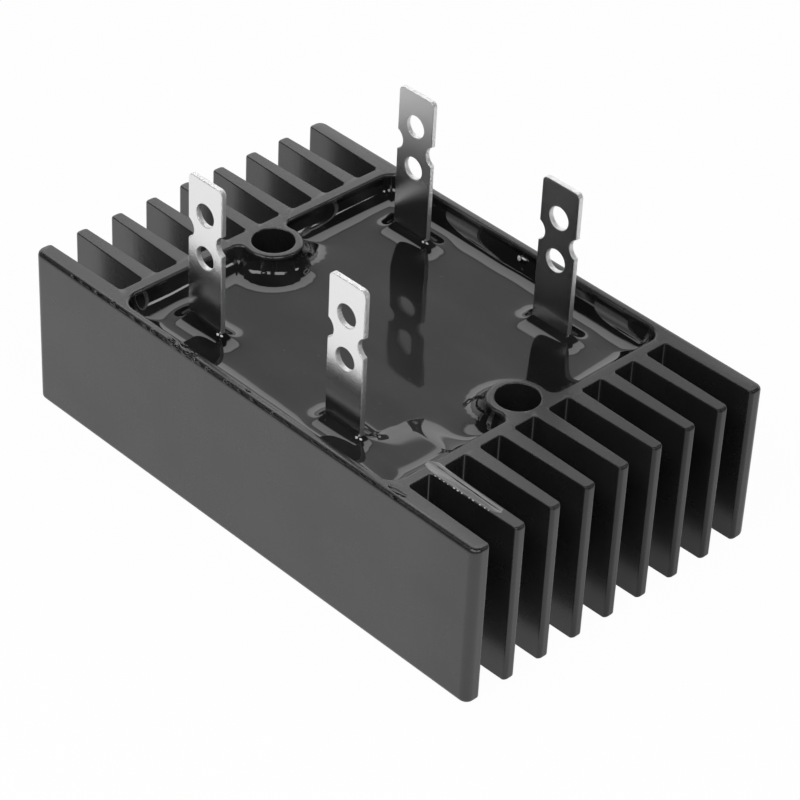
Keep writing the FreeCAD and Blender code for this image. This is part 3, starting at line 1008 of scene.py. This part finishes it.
        def join(column: int) -> None:
            """Add the column where a side of the fin meets a slot's root."""
            loop.append(comb.plan[column])
            walls.append((comb.top[column], comb.middle[column]))

        for side, place, tips, roots in (
                (1, number, comb.tips, comb.roots),
                (-1, fin_count - 1 - number, comb.tips[fin_count:], comb.roots[slot_count:])):
            if place > 0:
                join(roots[place - 1][-1])
            for column in tips[place]:
                loop.append(comb.plan[column])
                walls.append((comb.top[column], None))
            if place < slot_count:
                join(roots[place][0])
            for point in bulges.get(side, []):
                loop.append(np.array(shell.points[point][:2]))
                walls.append((None, point))
        outline = np.array(loop)
        rings = [shell.ring(inset(outline, depth), drop)
                 for depth, drop in reversed(round_over(self.edge_radius(outline), self.edge_steps))]
        for lower, upper in zip(rings, rings[1:]):
            shell.band(lower, upper)
        foot = rings[-1]
        for index, (high, mid) in enumerate(walls):
            after = (index + 1) % len(walls)
            next_high, next_mid = walls[after]
            face = [foot[index], foot[after]]
            if mid is not None and next_mid is not None:
                face += [next_mid, mid]
            else:
                face += [point for point in (next_mid, next_high, high, mid) if point is not None]
            shell.faces.append(face)
        shell.cap([rings[0], *holes], up=False)


@dataclass
class Blade:
    """Stamped terminal with two eyes and a notch in each side, bent to a foot under the resin."""

    node: str
    side: Side
    x: float
    y: float
    foot: float
    top: float
    width: float
    thick: float = 0.8
    corner: float = 0.8
    bend_radius: float = 0.8
    foot_length: float = 3.6
    eye_radius: float = 1.68
    eye_drop: float = 5.15
    eye_pitch: float = 6.6
    notch_radius: float = 1.65
    notch_depth: float = 1.05
    rim: float = 0.13
    rim_steps: int = 3
    bend_parts: int = 6

    @classmethod
    def from_frame(cls, node: str, side: Side) -> "Blade":
        """Read the blade's place and height from its CAD node.

        Args:
            node: Name of the node.
            side: Where its foot points.

        Returns:
            The blade.
        """
        low, high = node_box(node)
        back = high[1] if side is Side.FRONT else low[1]
        y = back + side.value * cls.thick / 2
        return cls(node, side, (low[0] + high[0]) / 2, y, low[2], high[2], high[0] - low[0])

    @property
    def bend_mid(self) -> float:
        """Radius of the strip's middle layer in the bend."""
        return self.bend_radius + self.thick / 2

    @property
    def bend_start(self) -> float:
        """Height where the upright part ends and the bend begins."""
        return self.foot + self.thick + self.bend_radius

    def blank(self) -> list[np.ndarray]:
        """Outline and eyes of the flat strip, with its height as the second axis.

        Returns:
            The outline and then the eyes.
        """
        half = self.width / 2
        bend = math.pi / 2 * self.bend_mid
        shares = [part / self.bend_parts for part in range(self.bend_parts, -1, -1)]
        stations = [self.bend_start - bend * share for share in shares]
        toe = stations[0] - (self.foot_length - self.bend_radius)
        notch_z = self.top - self.eye_drop - self.eye_pitch / 2
        notch_x = half + self.notch_radius - self.notch_depth
        swing = math.acos((notch_x - half) / self.notch_radius)
        notch = arc((notch_x, notch_z), self.notch_radius, math.pi + swing, math.pi - swing)
        shoulder = rounded_corner((half, notch_z), (half, self.top), (0, self.top), self.corner)
        right = [(half, toe)] + [(half, height) for height in stations] + notch + shoulder
        left = [(-x, z) for x, z in reversed(right)]
        eye_z = self.top - self.eye_drop
        eyes = [circle_hole(0, z, self.eye_radius) for z in (eye_z, eye_z - self.eye_pitch)]
        return [np.array(right + left), *eyes]

    def fold(self, points: np.ndarray) -> np.ndarray:
        """Bend the flat strip's lower end and put the blade in its place.

        Args:
            points: X, height along the strip and layer in its thickness.

        Returns:
            The points in the CAD frame.
        """
        x, along, layer = points[:, 0], points[:, 1], points[:, 2]
        below = np.clip(self.bend_start - along, 0, None)
        angle = np.minimum(below / self.bend_mid, math.pi / 2)
        flat = np.clip(below - math.pi / 2 * self.bend_mid, 0, None)
        radius = self.bend_mid + self.side.value * layer
        y = self.y + self.side.value * (self.bend_mid + flat - radius * np.cos(angle))
        z = np.where(below > 0, self.bend_start - radius * np.sin(angle), along)
        return np.stack([self.x + x, y, z], axis=1)

    def build(self, material: bpy.types.Material) -> None:
        """Make the blade as one closed mesh that is shown for the CAD node.

        Args:
            material: Finish of the blade.
        """
        shell = Shell()
        walls = [shell.rounded_walls(loop, -self.thick / 2, self.thick / 2, self.rim, self.rim_steps)
                 for loop in self.blank()]
        shell.cap([low for low, _ in walls], up=False)
        shell.cap([high for _, high in walls], up=True)
        for low, high in walls:
            shell.crease(low)
            shell.crease(high)
        name = self.node.replace("terminal", "blade")
        even_normals(add_piece(name, shell.make(name, self.fold), material, Slot.BLADE, [self.node]))


@dataclass(frozen=True)
class Bank:
    """Gentle bank where the resin set a little higher, with a ragged foot line and a soft top."""

    x: float
    y: float
    uphill: float
    width: float
    half_length: float
    height: float
    ragged: float = 0.5
    ragged_size: float = 2.2
    ragged_reach: float = 2.5
    fade: float = 5.0

    def rise(self, spots: np.ndarray) -> np.ndarray:
        """Height that the bank adds.

        Args:
            spots: Places in plan.

        Returns:
            One height for each place.
        """
        way = np.array([math.cos(math.radians(self.uphill)), math.sin(math.radians(self.uphill))])
        away = spots - (self.x, self.y)
        up = away @ way
        near_foot = np.clip(1 - np.abs(up) / self.ragged_reach, 0, 1)
        up += self.ragged * wave_field(spots, self.ragged_size) * near_foot
        along = np.abs(away @ (-way[1], way[0]))
        share = np.clip(up / self.width, 0, 1)
        end = np.clip((self.half_length - along) / self.fade + 0.5, 0, 1)
        soft_top, soft_ends = share * (2 - share), end * end * (3 - 2 * end)
        return self.height * soft_top * soft_ends


@dataclass
class Resin:
    """Potting resin that fills the well: it creeps up walls, bosses and blades and sets in gentle waves."""

    well: Well
    blades: list[Blade]
    drop: float = 3.3
    wall_rise: float = 2.5
    wall_reach: float = 1.0
    film_gap: float = 0.45
    film_reach: float = 0.07
    blade_rise: float = 1.1
    blade_reach: float = 1.2
    uneven: float = 0.12
    uneven_size: float = 6.0
    bowl: float = 0.22
    bowl_reach: float = 3.0
    blend_power: float = 1.6
    grid: float = 0.27
    ring_depths: tuple[float, ...] = (0.02, 0.05, 0.1, 0.17, 0.27, 0.4, 0.55, 0.72, 0.92, 1.15)
    collar_depths: tuple[float, ...] = (0.0, 0.06, 0.14, 0.24, 0.36, 0.5, 0.68, 0.9, 1.15)
    waves: tuple[tuple[float, float], ...] = ((12.0, 0.12), (3.8, 0.006), (1.6, 0.0012))
    banks: tuple[Bank, ...] = (Bank(14.6, -15.8, -4.0, 11.0, 6.0, 0.75),)

    def heights(self, spots: np.ndarray, loop: np.ndarray, top: float) -> np.ndarray:
        """Height of the resin at places in plan.

        Args:
            spots: The places.
            loop: The well's wall.
            top: Height of the casting's top face.

        Returns:
            One height for each place.
        """
        away = distance_to_loop(spots, loop)
        grip = 1 + self.uneven * wave_field(spots, self.uneven_size)
        climbs = [self.wall_rise * grip * np.exp(-away / self.wall_reach)]
        for blade in self.blades:
            reach = distance_to_blade(spots, blade)
            climbs.append(self.blade_rise * grip * np.exp(-reach / self.blade_reach))
        climb = sum(part ** self.blend_power for part in climbs) ** (1 / self.blend_power)
        calm = 1 - np.exp(-away / self.wall_reach)
        ripple = sum(depth * wave_field(spots, size) for size, depth in self.waves)
        ripple += sum(bank.rise(spots) for bank in self.banks)
        level = top - self.drop + climb + self.bowl * np.exp(-away / self.bowl_reach) + ripple * calm
        return level + (top - self.film_gap - level) * np.exp(-away / self.film_reach)

    def build(self, material: bpy.types.Material) -> None:
        """Make the resin as one closed mesh that is shown for the CAD node.

        Args:
            material: Finish of the resin.
        """
        top = node_box("heatsink")[1][2]
        loop = self.well.loop()
        edge = densify(loop, self.grid)
        rings = [inset(edge, -depth) for depth in self.ring_depths]
        collars = [collar_loop(blade, depth, self.grid)
                   for blade in self.blades for depth in self.collar_depths]
        cells = grid_cells(loop, self.grid)
        clear = inside_loop(cells, loop)
        clear &= distance_to_loop(cells, loop) > self.ring_depths[-1] + self.grid / 2
        for blade in self.blades:
            clear &= distance_to_blade(cells, blade) > self.collar_depths[-1] + self.grid / 2
        loose = np.concatenate([*rings, *collars, cells[clear]])
        shell = Shell()
        rim = shell.ring(edge, self.heights(edge, loop, top))
        inner = shell.ring(loose, self.heights(loose, loop, top))
        floor = shell.ring(edge, self.well.floor)
        shell.cap([rim[::-1]], up=True, loose=inner)
        shell.band(floor[::-1], rim[::-1])
        shell.cap([floor[::-1]], up=False)
        add_piece("resin", shell.make("resin"), material, Slot.RESIN, ["potting"])


def distance_to_loop(spots: np.ndarray, loop: np.ndarray) -> np.ndarray:
    """Distance from each place to the nearest side of a closed loop.

    Args:
        spots: The places.
        loop: Points of the loop.

    Returns:
        One distance for each place.
    """
    nearest = np.full(len(spots), np.inf)
    for start, end in zip(loop, np.roll(loop, -1, axis=0)):
        side = end - start
        share = np.clip((spots - start) @ side / (side @ side), 0, 1)
        nearest = np.minimum(nearest, np.linalg.norm(spots - start - share[:, None] * side, axis=1))
    return nearest


def inside_loop(spots: np.ndarray, loop: np.ndarray) -> np.ndarray:
    """Whether each place lies inside a closed loop, by the crossings of a ray to its right.

    Args:
        spots: The places.
        loop: Points of the loop.

    Returns:
        One answer for each place.
    """
    inside = np.zeros(len(spots), bool)
    for (x0, y0), (x1, y1) in zip(loop, np.roll(loop, -1, axis=0)):
        if y0 == y1:
            continue
        crosses = (y0 > spots[:, 1]) != (y1 > spots[:, 1])
        inside ^= crosses & (spots[:, 0] < x0 + (spots[:, 1] - y0) / (y1 - y0) * (x1 - x0))
    return inside


def grid_cells(loop: np.ndarray, step: float) -> np.ndarray:
    """Square grid of places over the box of a loop."""
    xs, ys = (np.arange(low, high, step) for low, high in zip(loop.min(axis=0), loop.max(axis=0)))
    return np.stack(np.meshgrid(xs, ys), axis=-1).reshape(-1, 2)


def distance_to_blade(spots: np.ndarray, blade: Blade) -> np.ndarray:
    """Distance in plan from each place to a blade's upright part."""
    away = np.abs(spots - (blade.x, blade.y)) - (blade.width / 2, blade.thick / 2)
    return np.linalg.norm(np.clip(away, 0, None), axis=1)


def collar_loop(blade: Blade, depth: float, step: float) -> np.ndarray:
    """Points round a blade at a distance from it.

    Args:
        blade: The blade.
        depth: The distance.
        step: Largest distance between neighbouring points.

    Returns:
        The points.
    """
    half_x, half_y = blade.width / 2, blade.thick / 2
    corners = []
    for number, (way_x, way_y) in enumerate(((1, 1), (-1, 1), (-1, -1), (1, -1))):
        corner = (blade.x + way_x * half_x, blade.y + way_y * half_y)
        start = number * math.pi / 2
        corners += arc(corner, depth, start, start + math.pi / 2)
    if depth == 0:
        corners = corners[::len(corners) // 4]
    return densify(np.array(corners), step)


def wave_field(spots: np.ndarray, size: float) -> np.ndarray:
    """Smooth waves of about one size, from -1 to 1, at places in plan."""
    return np.array([noise.noise(Vector((x / size, y / size, size))) for x, y in spots])


@dataclass(frozen=True)
class Drop:
    """Set drop of resin: its middle and its half sizes."""

    place: Point
    half: Point


@dataclass(frozen=True)
class Trail:
    """Beaded trail of resin along an edge: its two ends, its thickness and how close its beads lie."""

    start: Point
    end: Point
    thick: float
    bead: float


# Drops on the front edge: X, then how far inside the front face and how far under the top, then half sizes
CLUSTER_DROPS = (
    (-14.6, 0.62, 0.10, (0.85, 0.45, 0.36)),
    (-13.2, 0.46, 0.30, (0.75, 0.44, 0.46)),
    (-12.6, 1.20, 0.02, (0.80, 0.40, 0.26)),
    (-11.5, 0.46, 0.34, (0.85, 0.44, 0.52)),
    (-10.4, 0.90, 0.04, (0.75, 0.42, 0.30)),
    (-9.6, 0.42, 0.38, (0.60, 0.40, 0.40)),
)
EDGE_DROPS = (
    (-26.2, 0.46, 0.24, (0.55, 0.42, 0.34)),
    (-18.0, 0.42, 0.34, (0.60, 0.40, 0.36)),
    (-7.0, 0.40, 0.36, (0.55, 0.38, 0.36)),
    (-3.4, 0.40, 0.34, (0.60, 0.38, 0.34)),
    (0.2, 0.95, 0.02, (0.60, 0.24, 0.12)),
    (5.6, 0.38, 0.34, (0.45, 0.36, 0.30)),
)
# Pale beads in plan, whose light colour paints glints: along the smeared fin's near edge, where they are
# drops of resin too, and two at the foot of each of three blades
FIN_GLINT_BEADS = (
    (28.4, -19.44), (29.2, -19.43), (29.9, -19.41), (30.6, -19.40), (31.65, -19.37), (32.3, -19.36),
    (33.0, -19.35), (34.26, -19.31), (34.9, -19.29), (36.06, -19.26), (36.9, -19.24), (37.53, -19.22),
)
FOOT_GLINT_BEADS = (
    (-14.05, -18.15), (-13.45, -18.0), (14.25, -19.45), (14.85, -19.3), (-12.45, 17.85), (-11.85, 18.0),
)
FOOT_GLINT_HALVES = ((0.22, 0.16, 0.20), (0.26, 0.16, 0.14))
SMEAR_OUTLINE = (
    (25.7, -17.9), (25.9, -18.9), (27.4, -19.25), (30.5, -19.25), (34.5, -19.2), (38.2, -19.0),
    (38.9, -18.4), (38.6, -17.75), (35.0, -17.65), (31.0, -17.5), (28.4, -17.35), (26.8, -17.2),
)


@dataclass
class Spill:
    """Resin that ran over the rim and set there: beaded trails, drops, pale beads that paint glints, and a
    smear on one fin.
    """

    top: float
    front: float
    rear_wall: float
    trail_step: float = 0.16
    trail_inset: float = 0.34
    trail_drop: float = 0.33
    trail_taper: float = 12.0
    trail_blunt: float = 0.1
    swell_mean: float = 0.72
    swell_span: float = 0.8
    swell_least: float = 0.18
    swell_seed: float = 3.0
    sway_seed: float = 9.0
    face_gap: float = 0.01
    hoop_points: int = 8
    drop_rings: int = 7
    drop_points: int = 14
    drop_lump: float = 0.25
    drop_lump_scale: float = 1.3
    bead_lengths: tuple[float, ...] = (0.18, 0.44 / 3, 0.34 / 3, 0.08)
    bead_thick: float = 0.07
    bead_sink: float = 0.02
    foot_glint_drop: float = 2.3
    smear_grid: float = 0.22
    smear_margin: float = 0.12
    smear_lift: float = 0.015
    smear_thick: float = 0.07
    smear_ridge: float = 0.10
    smear_edge: float = 0.15
    smear_mottle: float = 0.35
    smear_mottle_size: float = 1.4
    furrow_y: float = -18.35
    furrow_half: float = 0.3
    furrow_least: float = 0.1
    furrow_sway: float = 0.25
    furrow_sway_size: float = 5.0

    @classmethod
    def from_frame(cls, well: Well) -> "Spill":
        """Read the top, the front face and the well's rear wall."""
        low, high = node_box("heatsink")
        return cls(high[2], low[1], well.half_y)

    def trails(self) -> dict[str, Trail]:
        """Trails along the front edge, and along the fin that carries the smear.

        Returns:
            The trails by name.
        """
        edge, top = self.front + self.trail_inset, self.top - self.trail_drop
        return {
            "trail_front": Trail((-36.0, edge, top), (-4.0, edge, top), 0.28, 1.3),
            "trail_corner": Trail((-5.0, edge, top), (32.0, edge, top), 0.22, 1.3),
            "trail_smear": Trail((26.6, -18.0, self.top + 0.07), (38.6, -18.3, self.top + 0.07), 0.075, 1.6),
        }

    def drops(self) -> dict[str, Drop]:
        """Drops of resin: a cluster and specks on the front edge, a puddle and a drip on the far wall.

        Returns:
            The drops by name.
        """
        drops = {}
        for kind, rows in (("cluster", CLUSTER_DROPS), ("edge", EDGE_DROPS)):
            for number, (x, inward, under, half) in enumerate(rows, 1):
                drops[f"drop_{kind}_{number}"] = Drop((x, self.front + inward, self.top - under), half)
        drops["puddle"] = Drop((27.6, self.front + 1.25, self.top - 0.02), (1.75, 0.55, 0.15))
        drops["drip_far_wall"] = Drop((0.6, self.rear_wall - 0.10, self.top - 1.7), (1.15, 0.55, 0.9))
        return drops

    def beads(self) -> dict[str, Drop]:
        """Pale beads whose colour paints glints: on the smeared fin's edge, at the blades' feet and on the
        drip of the far wall.

        Returns:
            The beads by name.
        """
        beads = {}
        # Drops on the smeared fin's near edge: their pale colour paints their glints.
        for number, ((x, y), length) in enumerate(zip(FIN_GLINT_BEADS, cycle(self.bead_lengths)), 1):
            half = (length, self.bead_thick, self.bead_thick)
            beads[f"bead_{number}"] = Drop((x, y, self.top - self.bead_sink), half)
        # Pale beads at the blades' feet: painted glints where the resin's collars mirror light.
        for number, ((x, y), half) in enumerate(zip(FOOT_GLINT_BEADS, cycle(FOOT_GLINT_HALVES)), 1):
            beads[f"bead_foot_{number}"] = Drop((x, y, self.top - self.foot_glint_drop), half)
        wall = self.rear_wall
        # Two pale beads on the far wall's drip: a painted highlight, the bright crescent there.
        beads["bead_drip_1"] = Drop((-0.1, wall - 0.55, self.top - 1.35), (0.34, 0.14, 0.42))
        beads["bead_drip_2"] = Drop((0.75, wall - 0.50, self.top - 1.05), (0.50, 0.14, 0.16))
        return beads

    def add_string(self, name: str, shell: Shell, hoops: list[list[int]],
                   material: bpy.types.Material) -> None:
        """Join hoops to one closed piece of resin.

        Args:
            name: Name of the piece.
            shell: The mesh that the hoops are in.
            hoops: The hoops in order.
            material: Finish of the piece.
        """
        for before, after in zip(hoops, hoops[1:]):
            shell.band(before, after)
        shell.faces += [hoops[0][::-1], hoops[-1]]
        add_piece(name, shell.make(name), material, Slot.RESIN)

    def build_trail(self, name: str, trail: Trail, material: bpy.types.Material) -> None:
        """Make a trail as one closed string of beads.

        Args:
            name: Name of the piece.
            trail: Its ends and its beads.
            material: Finish of the resin.
        """
        start, end = np.array(trail.start), np.array(trail.end)
        count = math.ceil(np.linalg.norm(end - start) / self.trail_step)
        angles = np.linspace(0, math.tau, self.hoop_points, endpoint=False)
        shell = Shell()
        hoops = []
        for share in np.linspace(0, 1, count + 1):
            x, y, z = start + (end - start) * share
            swell = noise.noise(Vector((x / trail.bead, y, self.swell_seed)))
            sway = noise.noise(Vector((x / (2 * trail.bead), y, self.sway_seed))) * trail.thick / 2
            ends = min(1.0, self.trail_taper * min(share, 1 - share) + self.trail_blunt)
            radius = trail.thick * max(self.swell_least, self.swell_mean + self.swell_span * swell) * ends
            across = np.maximum(y + sway + radius * np.cos(angles), self.front + self.face_gap)
            hoop = np.stack([np.full(len(angles), x), across, z + radius * np.sin(angles)], axis=1)
            hoops.append(shell.hoop(hoop))
        self.add_string(name, shell, hoops, material)

    def build_drop(self, name: str, drop: Drop, material: bpy.types.Material) -> None:
        """Make a drop as one closed, slightly lopsided bead.

        Args:
            name: Name of the piece.
            drop: Its place and size.
            material: Finish of the resin.
        """
        middle, half = np.array(drop.place), np.array(drop.half)
        turns = np.linspace(0, math.tau, self.drop_points, endpoint=False)
        circle = np.stack([np.cos(turns), np.sin(turns), np.zeros(len(turns))], axis=1)
        shell = Shell()
        hoops = []
        for lean in np.linspace(-math.pi / 2, math.pi / 2, self.drop_rings + 2)[1:-1]:
            ball = circle * math.cos(lean) + (0, 0, math.sin(lean))
            lumps = [noise.noise(Vector(spot * self.drop_lump_scale + middle)) for spot in ball]
            lump = np.minimum(1 + self.drop_lump * np.array(lumps), 1.0)
            hoops.append(shell.hoop(middle + ball * half * lump[:, None]))
        self.add_string(name, shell, hoops, material)

    def build_smear(self, material: bpy.types.Material) -> None:
        """Make the smear on the second fin: a thin skin with a furrow along its middle.

        Args:
            material: Finish of the thin skin.
        """
        edge = densify(np.array(SMEAR_OUTLINE), self.smear_grid)
        cells = grid_cells(np.array(SMEAR_OUTLINE), self.smear_grid)
        cells = cells[inside_loop(cells, edge) & (distance_to_loop(cells, edge) > self.smear_margin)]
        sway = self.furrow_sway * wave_field(cells, self.furrow_sway_size)
        furrow = np.abs(cells[:, 1] - self.furrow_y + sway) / self.furrow_half
        height = self.smear_ridge * (1 - np.exp(-distance_to_loop(cells, edge) / self.smear_edge))
        height *= np.clip(furrow, self.furrow_least, 1)
        height *= 1 + self.smear_mottle * wave_field(cells, self.smear_mottle_size)
        shell = Shell()
        rim = shell.ring(edge, self.top + self.smear_lift)
        skin = shell.ring(cells, self.top + self.smear_lift + height)
        foot = shell.ring(edge, self.top - self.smear_thick)
        shell.cap([rim], up=True, loose=skin)
        shell.band(foot, rim)
        shell.cap([foot], up=False)
        add_piece("smear", shell.make("smear"), material, Slot.RESIN)

    def build(self, material: bpy.types.Material, skin: bpy.types.Material, pale: bpy.types.Material) -> None:
        """Make every trail, every drop, the pale beads that paint glints, and the smear.

        Args:
            material: Finish of the resin.
            skin: Finish of the thin smeared resin.
            pale: Finish of the pale beads, whose light colour paints glints.
        """
        for name, trail in self.trails().items():
            self.build_trail(name, trail, material)
        for name, drop in self.drops().items():
            self.build_drop(name, drop, material)
        for name, bead in self.beads().items():
            self.build_drop(name, bead, pale)
        self.build_smear(skin)


@dataclass(frozen=True)
class Lamp:
    """Soft square lamp that faces the object; glossy surfaces mirror it only where it is said so."""

    name: str
    azimuth: float
    elevation: float
    distance: float
    side: float
    radiance: float
    mirrored: bool


@dataclass(frozen=True)
class Panel:
    """Bright part of the room as glossy surfaces mirror it, with its place and softness in degrees."""

    azimuth: float
    half_width: float
    low: float
    high: float
    level: float
    soft: float = 1.5


@dataclass
class Studio:
    """White sweep, soft lamps and the camera at the photograph's angle."""

    azimuth: float = math.radians(44.77)
    elevation: float = math.radians(36.55)
    roll: float = -0.050912
    distance: float = 417.28
    target: Point = (2.9446, -0.6087, 12.75)
    focal_pixels: float = 3121.577
    frame_pixels: float = 800.0
    sensor: float = 36.0
    floor_half: float = 3000.0
    floor_shade: float = 0.9
    floor_glow: float = 0.97
    mirrored_glow: float = 0.57
    fill: float = 0.42
    surround: float = 0.06
    side_softness: float = 4.0
    panels: tuple[Panel, ...] = (
        Panel(135, 60, -2, 19, 0.75, 2.0),
        Panel(135, 55, 19, 29.5, 1.85, 0.8),
        Panel(135, 50, 29.5, 42, 0.72, 0.8),
        Panel(137, 40, 43, 57, 2.3, 1.2),
        Panel(-88, 39, 43, 56, 4.8, 1.0),
        Panel(-16, 19, 43, 56, 4.8, 1.0),
    )
    lamps: tuple[Lamp, ...] = (
        Lamp("front_left", -80, 50, 500, 170, 9.0, False),
        Lamp("front_right", -12, 50, 500, 130, 8.0, False),
        Lamp("back_right", 42.5, 36, 500, 72, 6.0, True),
    )

    def add_camera(self) -> None:
        """Place the camera where the fit of the photograph puts it."""
        level, tilt = self.azimuth, self.elevation
        back = Vector((math.sin(level) * math.cos(tilt), -math.cos(level) * math.cos(tilt), math.sin(tilt)))
        right = Vector((math.cos(level), math.sin(level), 0))
        up = back.cross(right)
        turned_right = math.cos(self.roll) * right - math.sin(self.roll) * up
        turned_up = math.sin(self.roll) * right + math.cos(self.roll) * up
        data = bpy.data.cameras.new("camera")
        data.sensor_width = self.sensor
        data.sensor_fit = "HORIZONTAL"
        data.lens = self.focal_pixels * self.sensor / self.frame_pixels
        camera = bpy.data.objects.new("camera", data)
        bpy.context.scene.collection.objects.link(camera)
        place = Matrix((turned_right, turned_up, back)).transposed().to_4x4()
        place.translation = (Vector(self.target) + back * self.distance) * MM
        camera.matrix_world = place
        bpy.context.scene.camera = camera

    def add_lamp(self, lamp: Lamp) -> None:
        """Add one lamp.

        Args:
            lamp: What it is and where it stands.
        """
        level, tilt = math.radians(lamp.azimuth), math.radians(lamp.elevation)
        way = Vector((math.cos(level) * math.cos(tilt), math.sin(level) * math.cos(tilt), math.sin(tilt)))
        data = bpy.data.lights.new(lamp.name, "AREA")
        data.shape = "SQUARE"
        data.size = lamp.side * MM
        data.energy = math.pi * (lamp.side * MM) ** 2 * lamp.radiance
        piece = bpy.data.objects.new(lamp.name, data)
        bpy.context.scene.collection.objects.link(piece)
        piece.location = (Vector(self.target) + way * lamp.distance) * MM
        piece.rotation_euler = (-way).to_track_quat("-Z", "Y").to_euler()
        piece.visible_glossy = lamp.mirrored

    def window(self, nodes: Nodes, value: Socket, low: float, high: float, soft: float) -> Socket:
        """One between two limits and zero outside them, with soft edges.

        Args:
            nodes: Node tree to build it in.
            value: The value to test.
            low: Lower limit.
            high: Upper limit.
            soft: Half width of each edge.

        Returns:
            The share, 0 to 1.
        """
        rise = nodes.between(value, 0.0, 1.0, low - soft, low + soft, "SMOOTHSTEP")
        fall = nodes.between(value, 1.0, 0.0, high - soft, high + soft, "SMOOTHSTEP")
        return nodes.compute("MULTIPLY", rise, fall)

    def room_light(self, nodes: Nodes) -> Socket:
        """Brightness of the room in reflections: its panels before a dark surround.

        Args:
            nodes: Node tree to build it in.

        Returns:
            The brightness.
        """
        way = nodes.add("TexCoord", {}).outputs["Generated"]
        x, y, z = nodes.add("SeparateXYZ", {0: way}).outputs
        height = nodes.compute("ARCSINE", z)
        bearing = nodes.compute("ARCTAN2", y, x)
        light = self.surround
        for panel in self.panels:
            low, high, soft = (math.radians(angle) for angle in (panel.low, panel.high, panel.soft))
            left, right = (math.radians(panel.azimuth + side * panel.half_width) for side in (-1, 1))
            turned = nodes.compute("WRAP", nodes.compute("SUBTRACT", bearing, left), math.pi, -math.pi)
            shown = nodes.compute("MULTIPLY", self.window(nodes, height, low, high, soft),
                                  self.window(nodes, turned, 0.0, right - left, self.side_softness * soft))
            light = nodes.compute("ADD", light, nodes.compute("MULTIPLY", shown, panel.level))
        return light

    def sights(self, nodes: Nodes) -> tuple[Socket, Socket]:
        """Whether the camera sees a place itself, and whether something mirrors it.

        Args:
            nodes: Node tree to build it in.

        Returns:
            The two answers, 0 or 1.
        """
        path = nodes.add("LightPath", {}).outputs
        mirrored = nodes.compute("MAXIMUM", path["Is Glossy Ray"], path["Is Transmission Ray"])
        return path["Is Camera Ray"], mirrored

    def add_world(self) -> None:
        """Surroundings: white to the eye, the room's panels in reflections, and a dim even fill as light."""
        world = bpy.data.worlds.new("surroundings")
        world.use_nodes = True
        nodes = Nodes(world.node_tree)
        fill = nodes.tree.nodes["Background"]
        nodes.feed(fill.inputs["Color"], (1, 1, 1, 1))
        nodes.feed(fill.inputs["Strength"], self.fill)
        room = nodes.add("Background", {"Color": (1, 1, 1, 1), "Strength": self.room_light(nodes)})
        white = nodes.add("Background", {"Color": (1, 1, 1, 1)})
        seen, mirrored = self.sights(nodes)
        shown = nodes.blend(seen, nodes.blend(mirrored, fill, room), white)
        nodes.feed(nodes.tree.nodes["World Output"].inputs["Surface"], shown.outputs[0])
        bpy.context.scene.world = world

    def add_floor(self) -> None:
        """White floor that keeps a faint shadow of the object."""
        reach = self.floor_half * MM
        corners = [(-reach, -reach, 0), (reach, -reach, 0), (reach, reach, 0), (-reach, reach, 0)]
        mesh = bpy.data.meshes.new("floor")
        mesh.from_pydata(corners, [], [(0, 1, 2, 3)])
        material = bpy.data.materials.new("white_floor")
        material.use_nodes = True
        nodes = Nodes(material.node_tree)
        nodes.tree.nodes.remove(nodes.tree.nodes["Principled BSDF"])
        matt = nodes.add("BsdfDiffuse", {"Color": (*grey(self.floor_shade), 1)})
        seen, mirrored = self.sights(nodes)
        direct = nodes.compute("MULTIPLY", seen, self.floor_glow)
        share = nodes.compute("MAXIMUM", direct, nodes.compute("MULTIPLY", mirrored, self.mirrored_glow))
        shown = nodes.blend(share, matt, nodes.add("Emission", {}))
        nodes.feed(nodes.tree.nodes["Material Output"].inputs["Surface"], shown.outputs[0])
        mesh.materials.append(material)
        floor = bpy.data.objects.new("floor", mesh)
        bpy.context.scene.collection.objects.link(floor)

    def build(self) -> None:
        """Set up the view, the surroundings and the lamps."""
        bpy.context.scene.view_settings.view_transform = "Standard"
        self.add_camera()
        self.add_world()
        self.add_floor()
        for lamp in self.lamps:
            self.add_lamp(lamp)


@dataclass
class Circuit:
    """Ceramics, pads, dice, straps and solder under the resin: the CAD nodes with finishes of their own."""

    finishes: dict[str, InnerFinish] = field(default_factory=lambda: {
        "insulator": CERAMIC, "bond": BOND, "pad": COPPER, "strap": COPPER, "diode": SILICON,
        "solder": SOLDER,
    })

    def build(self) -> None:
        """Dress every inner node."""
        materials = {kind: finish.make() for kind, finish in self.finishes.items()}
        for name, piece in sorted(frame["nodes"].items()):
            kind = name.split("_")[0]
            if kind not in materials:
                continue
            for slot in piece.material_slots:
                slot.material = materials[kind]
            log.info("%s: %d slots, %s", name, len(piece.material_slots), self.finishes[kind].slot.value)


def main() -> None:
    """Build the studio and every piece in order."""
    logging.basicConfig(level=logging.INFO, format="%(message)s")
    Studio().build()
    well = Well.from_frame()
    Casting.from_frame(well).build(CastingFinish().make())
    plain = BladeFinish().make()
    veiled = BladeFinish("tin_veiled", face_rough=0.23, veil=0.20, veil_rough=0.46).make()
    terminals = {"ac_1": Side.FRONT, "plus": Side.FRONT, "minus": Side.REAR, "ac_2": Side.REAR}
    blades = [Blade.from_frame(f"terminal_{name}", side) for name, side in terminals.items()]
    for blade in blades:
        blade.build(veiled if blade.side is Side.REAR and blade.x < 0 else plain)
    resin_finish = ResinFinish().make()
    Resin(well, blades).build(resin_finish)
    # Pale finish of the beads: painted glints.
    pale = SkinFinish("resin_pale", 0.35, 0.80).make()
    Spill.from_frame(well).build(resin_finish, SkinFinish().make(), pale)
    Circuit().build()


if __name__ == "__main__":
    main()
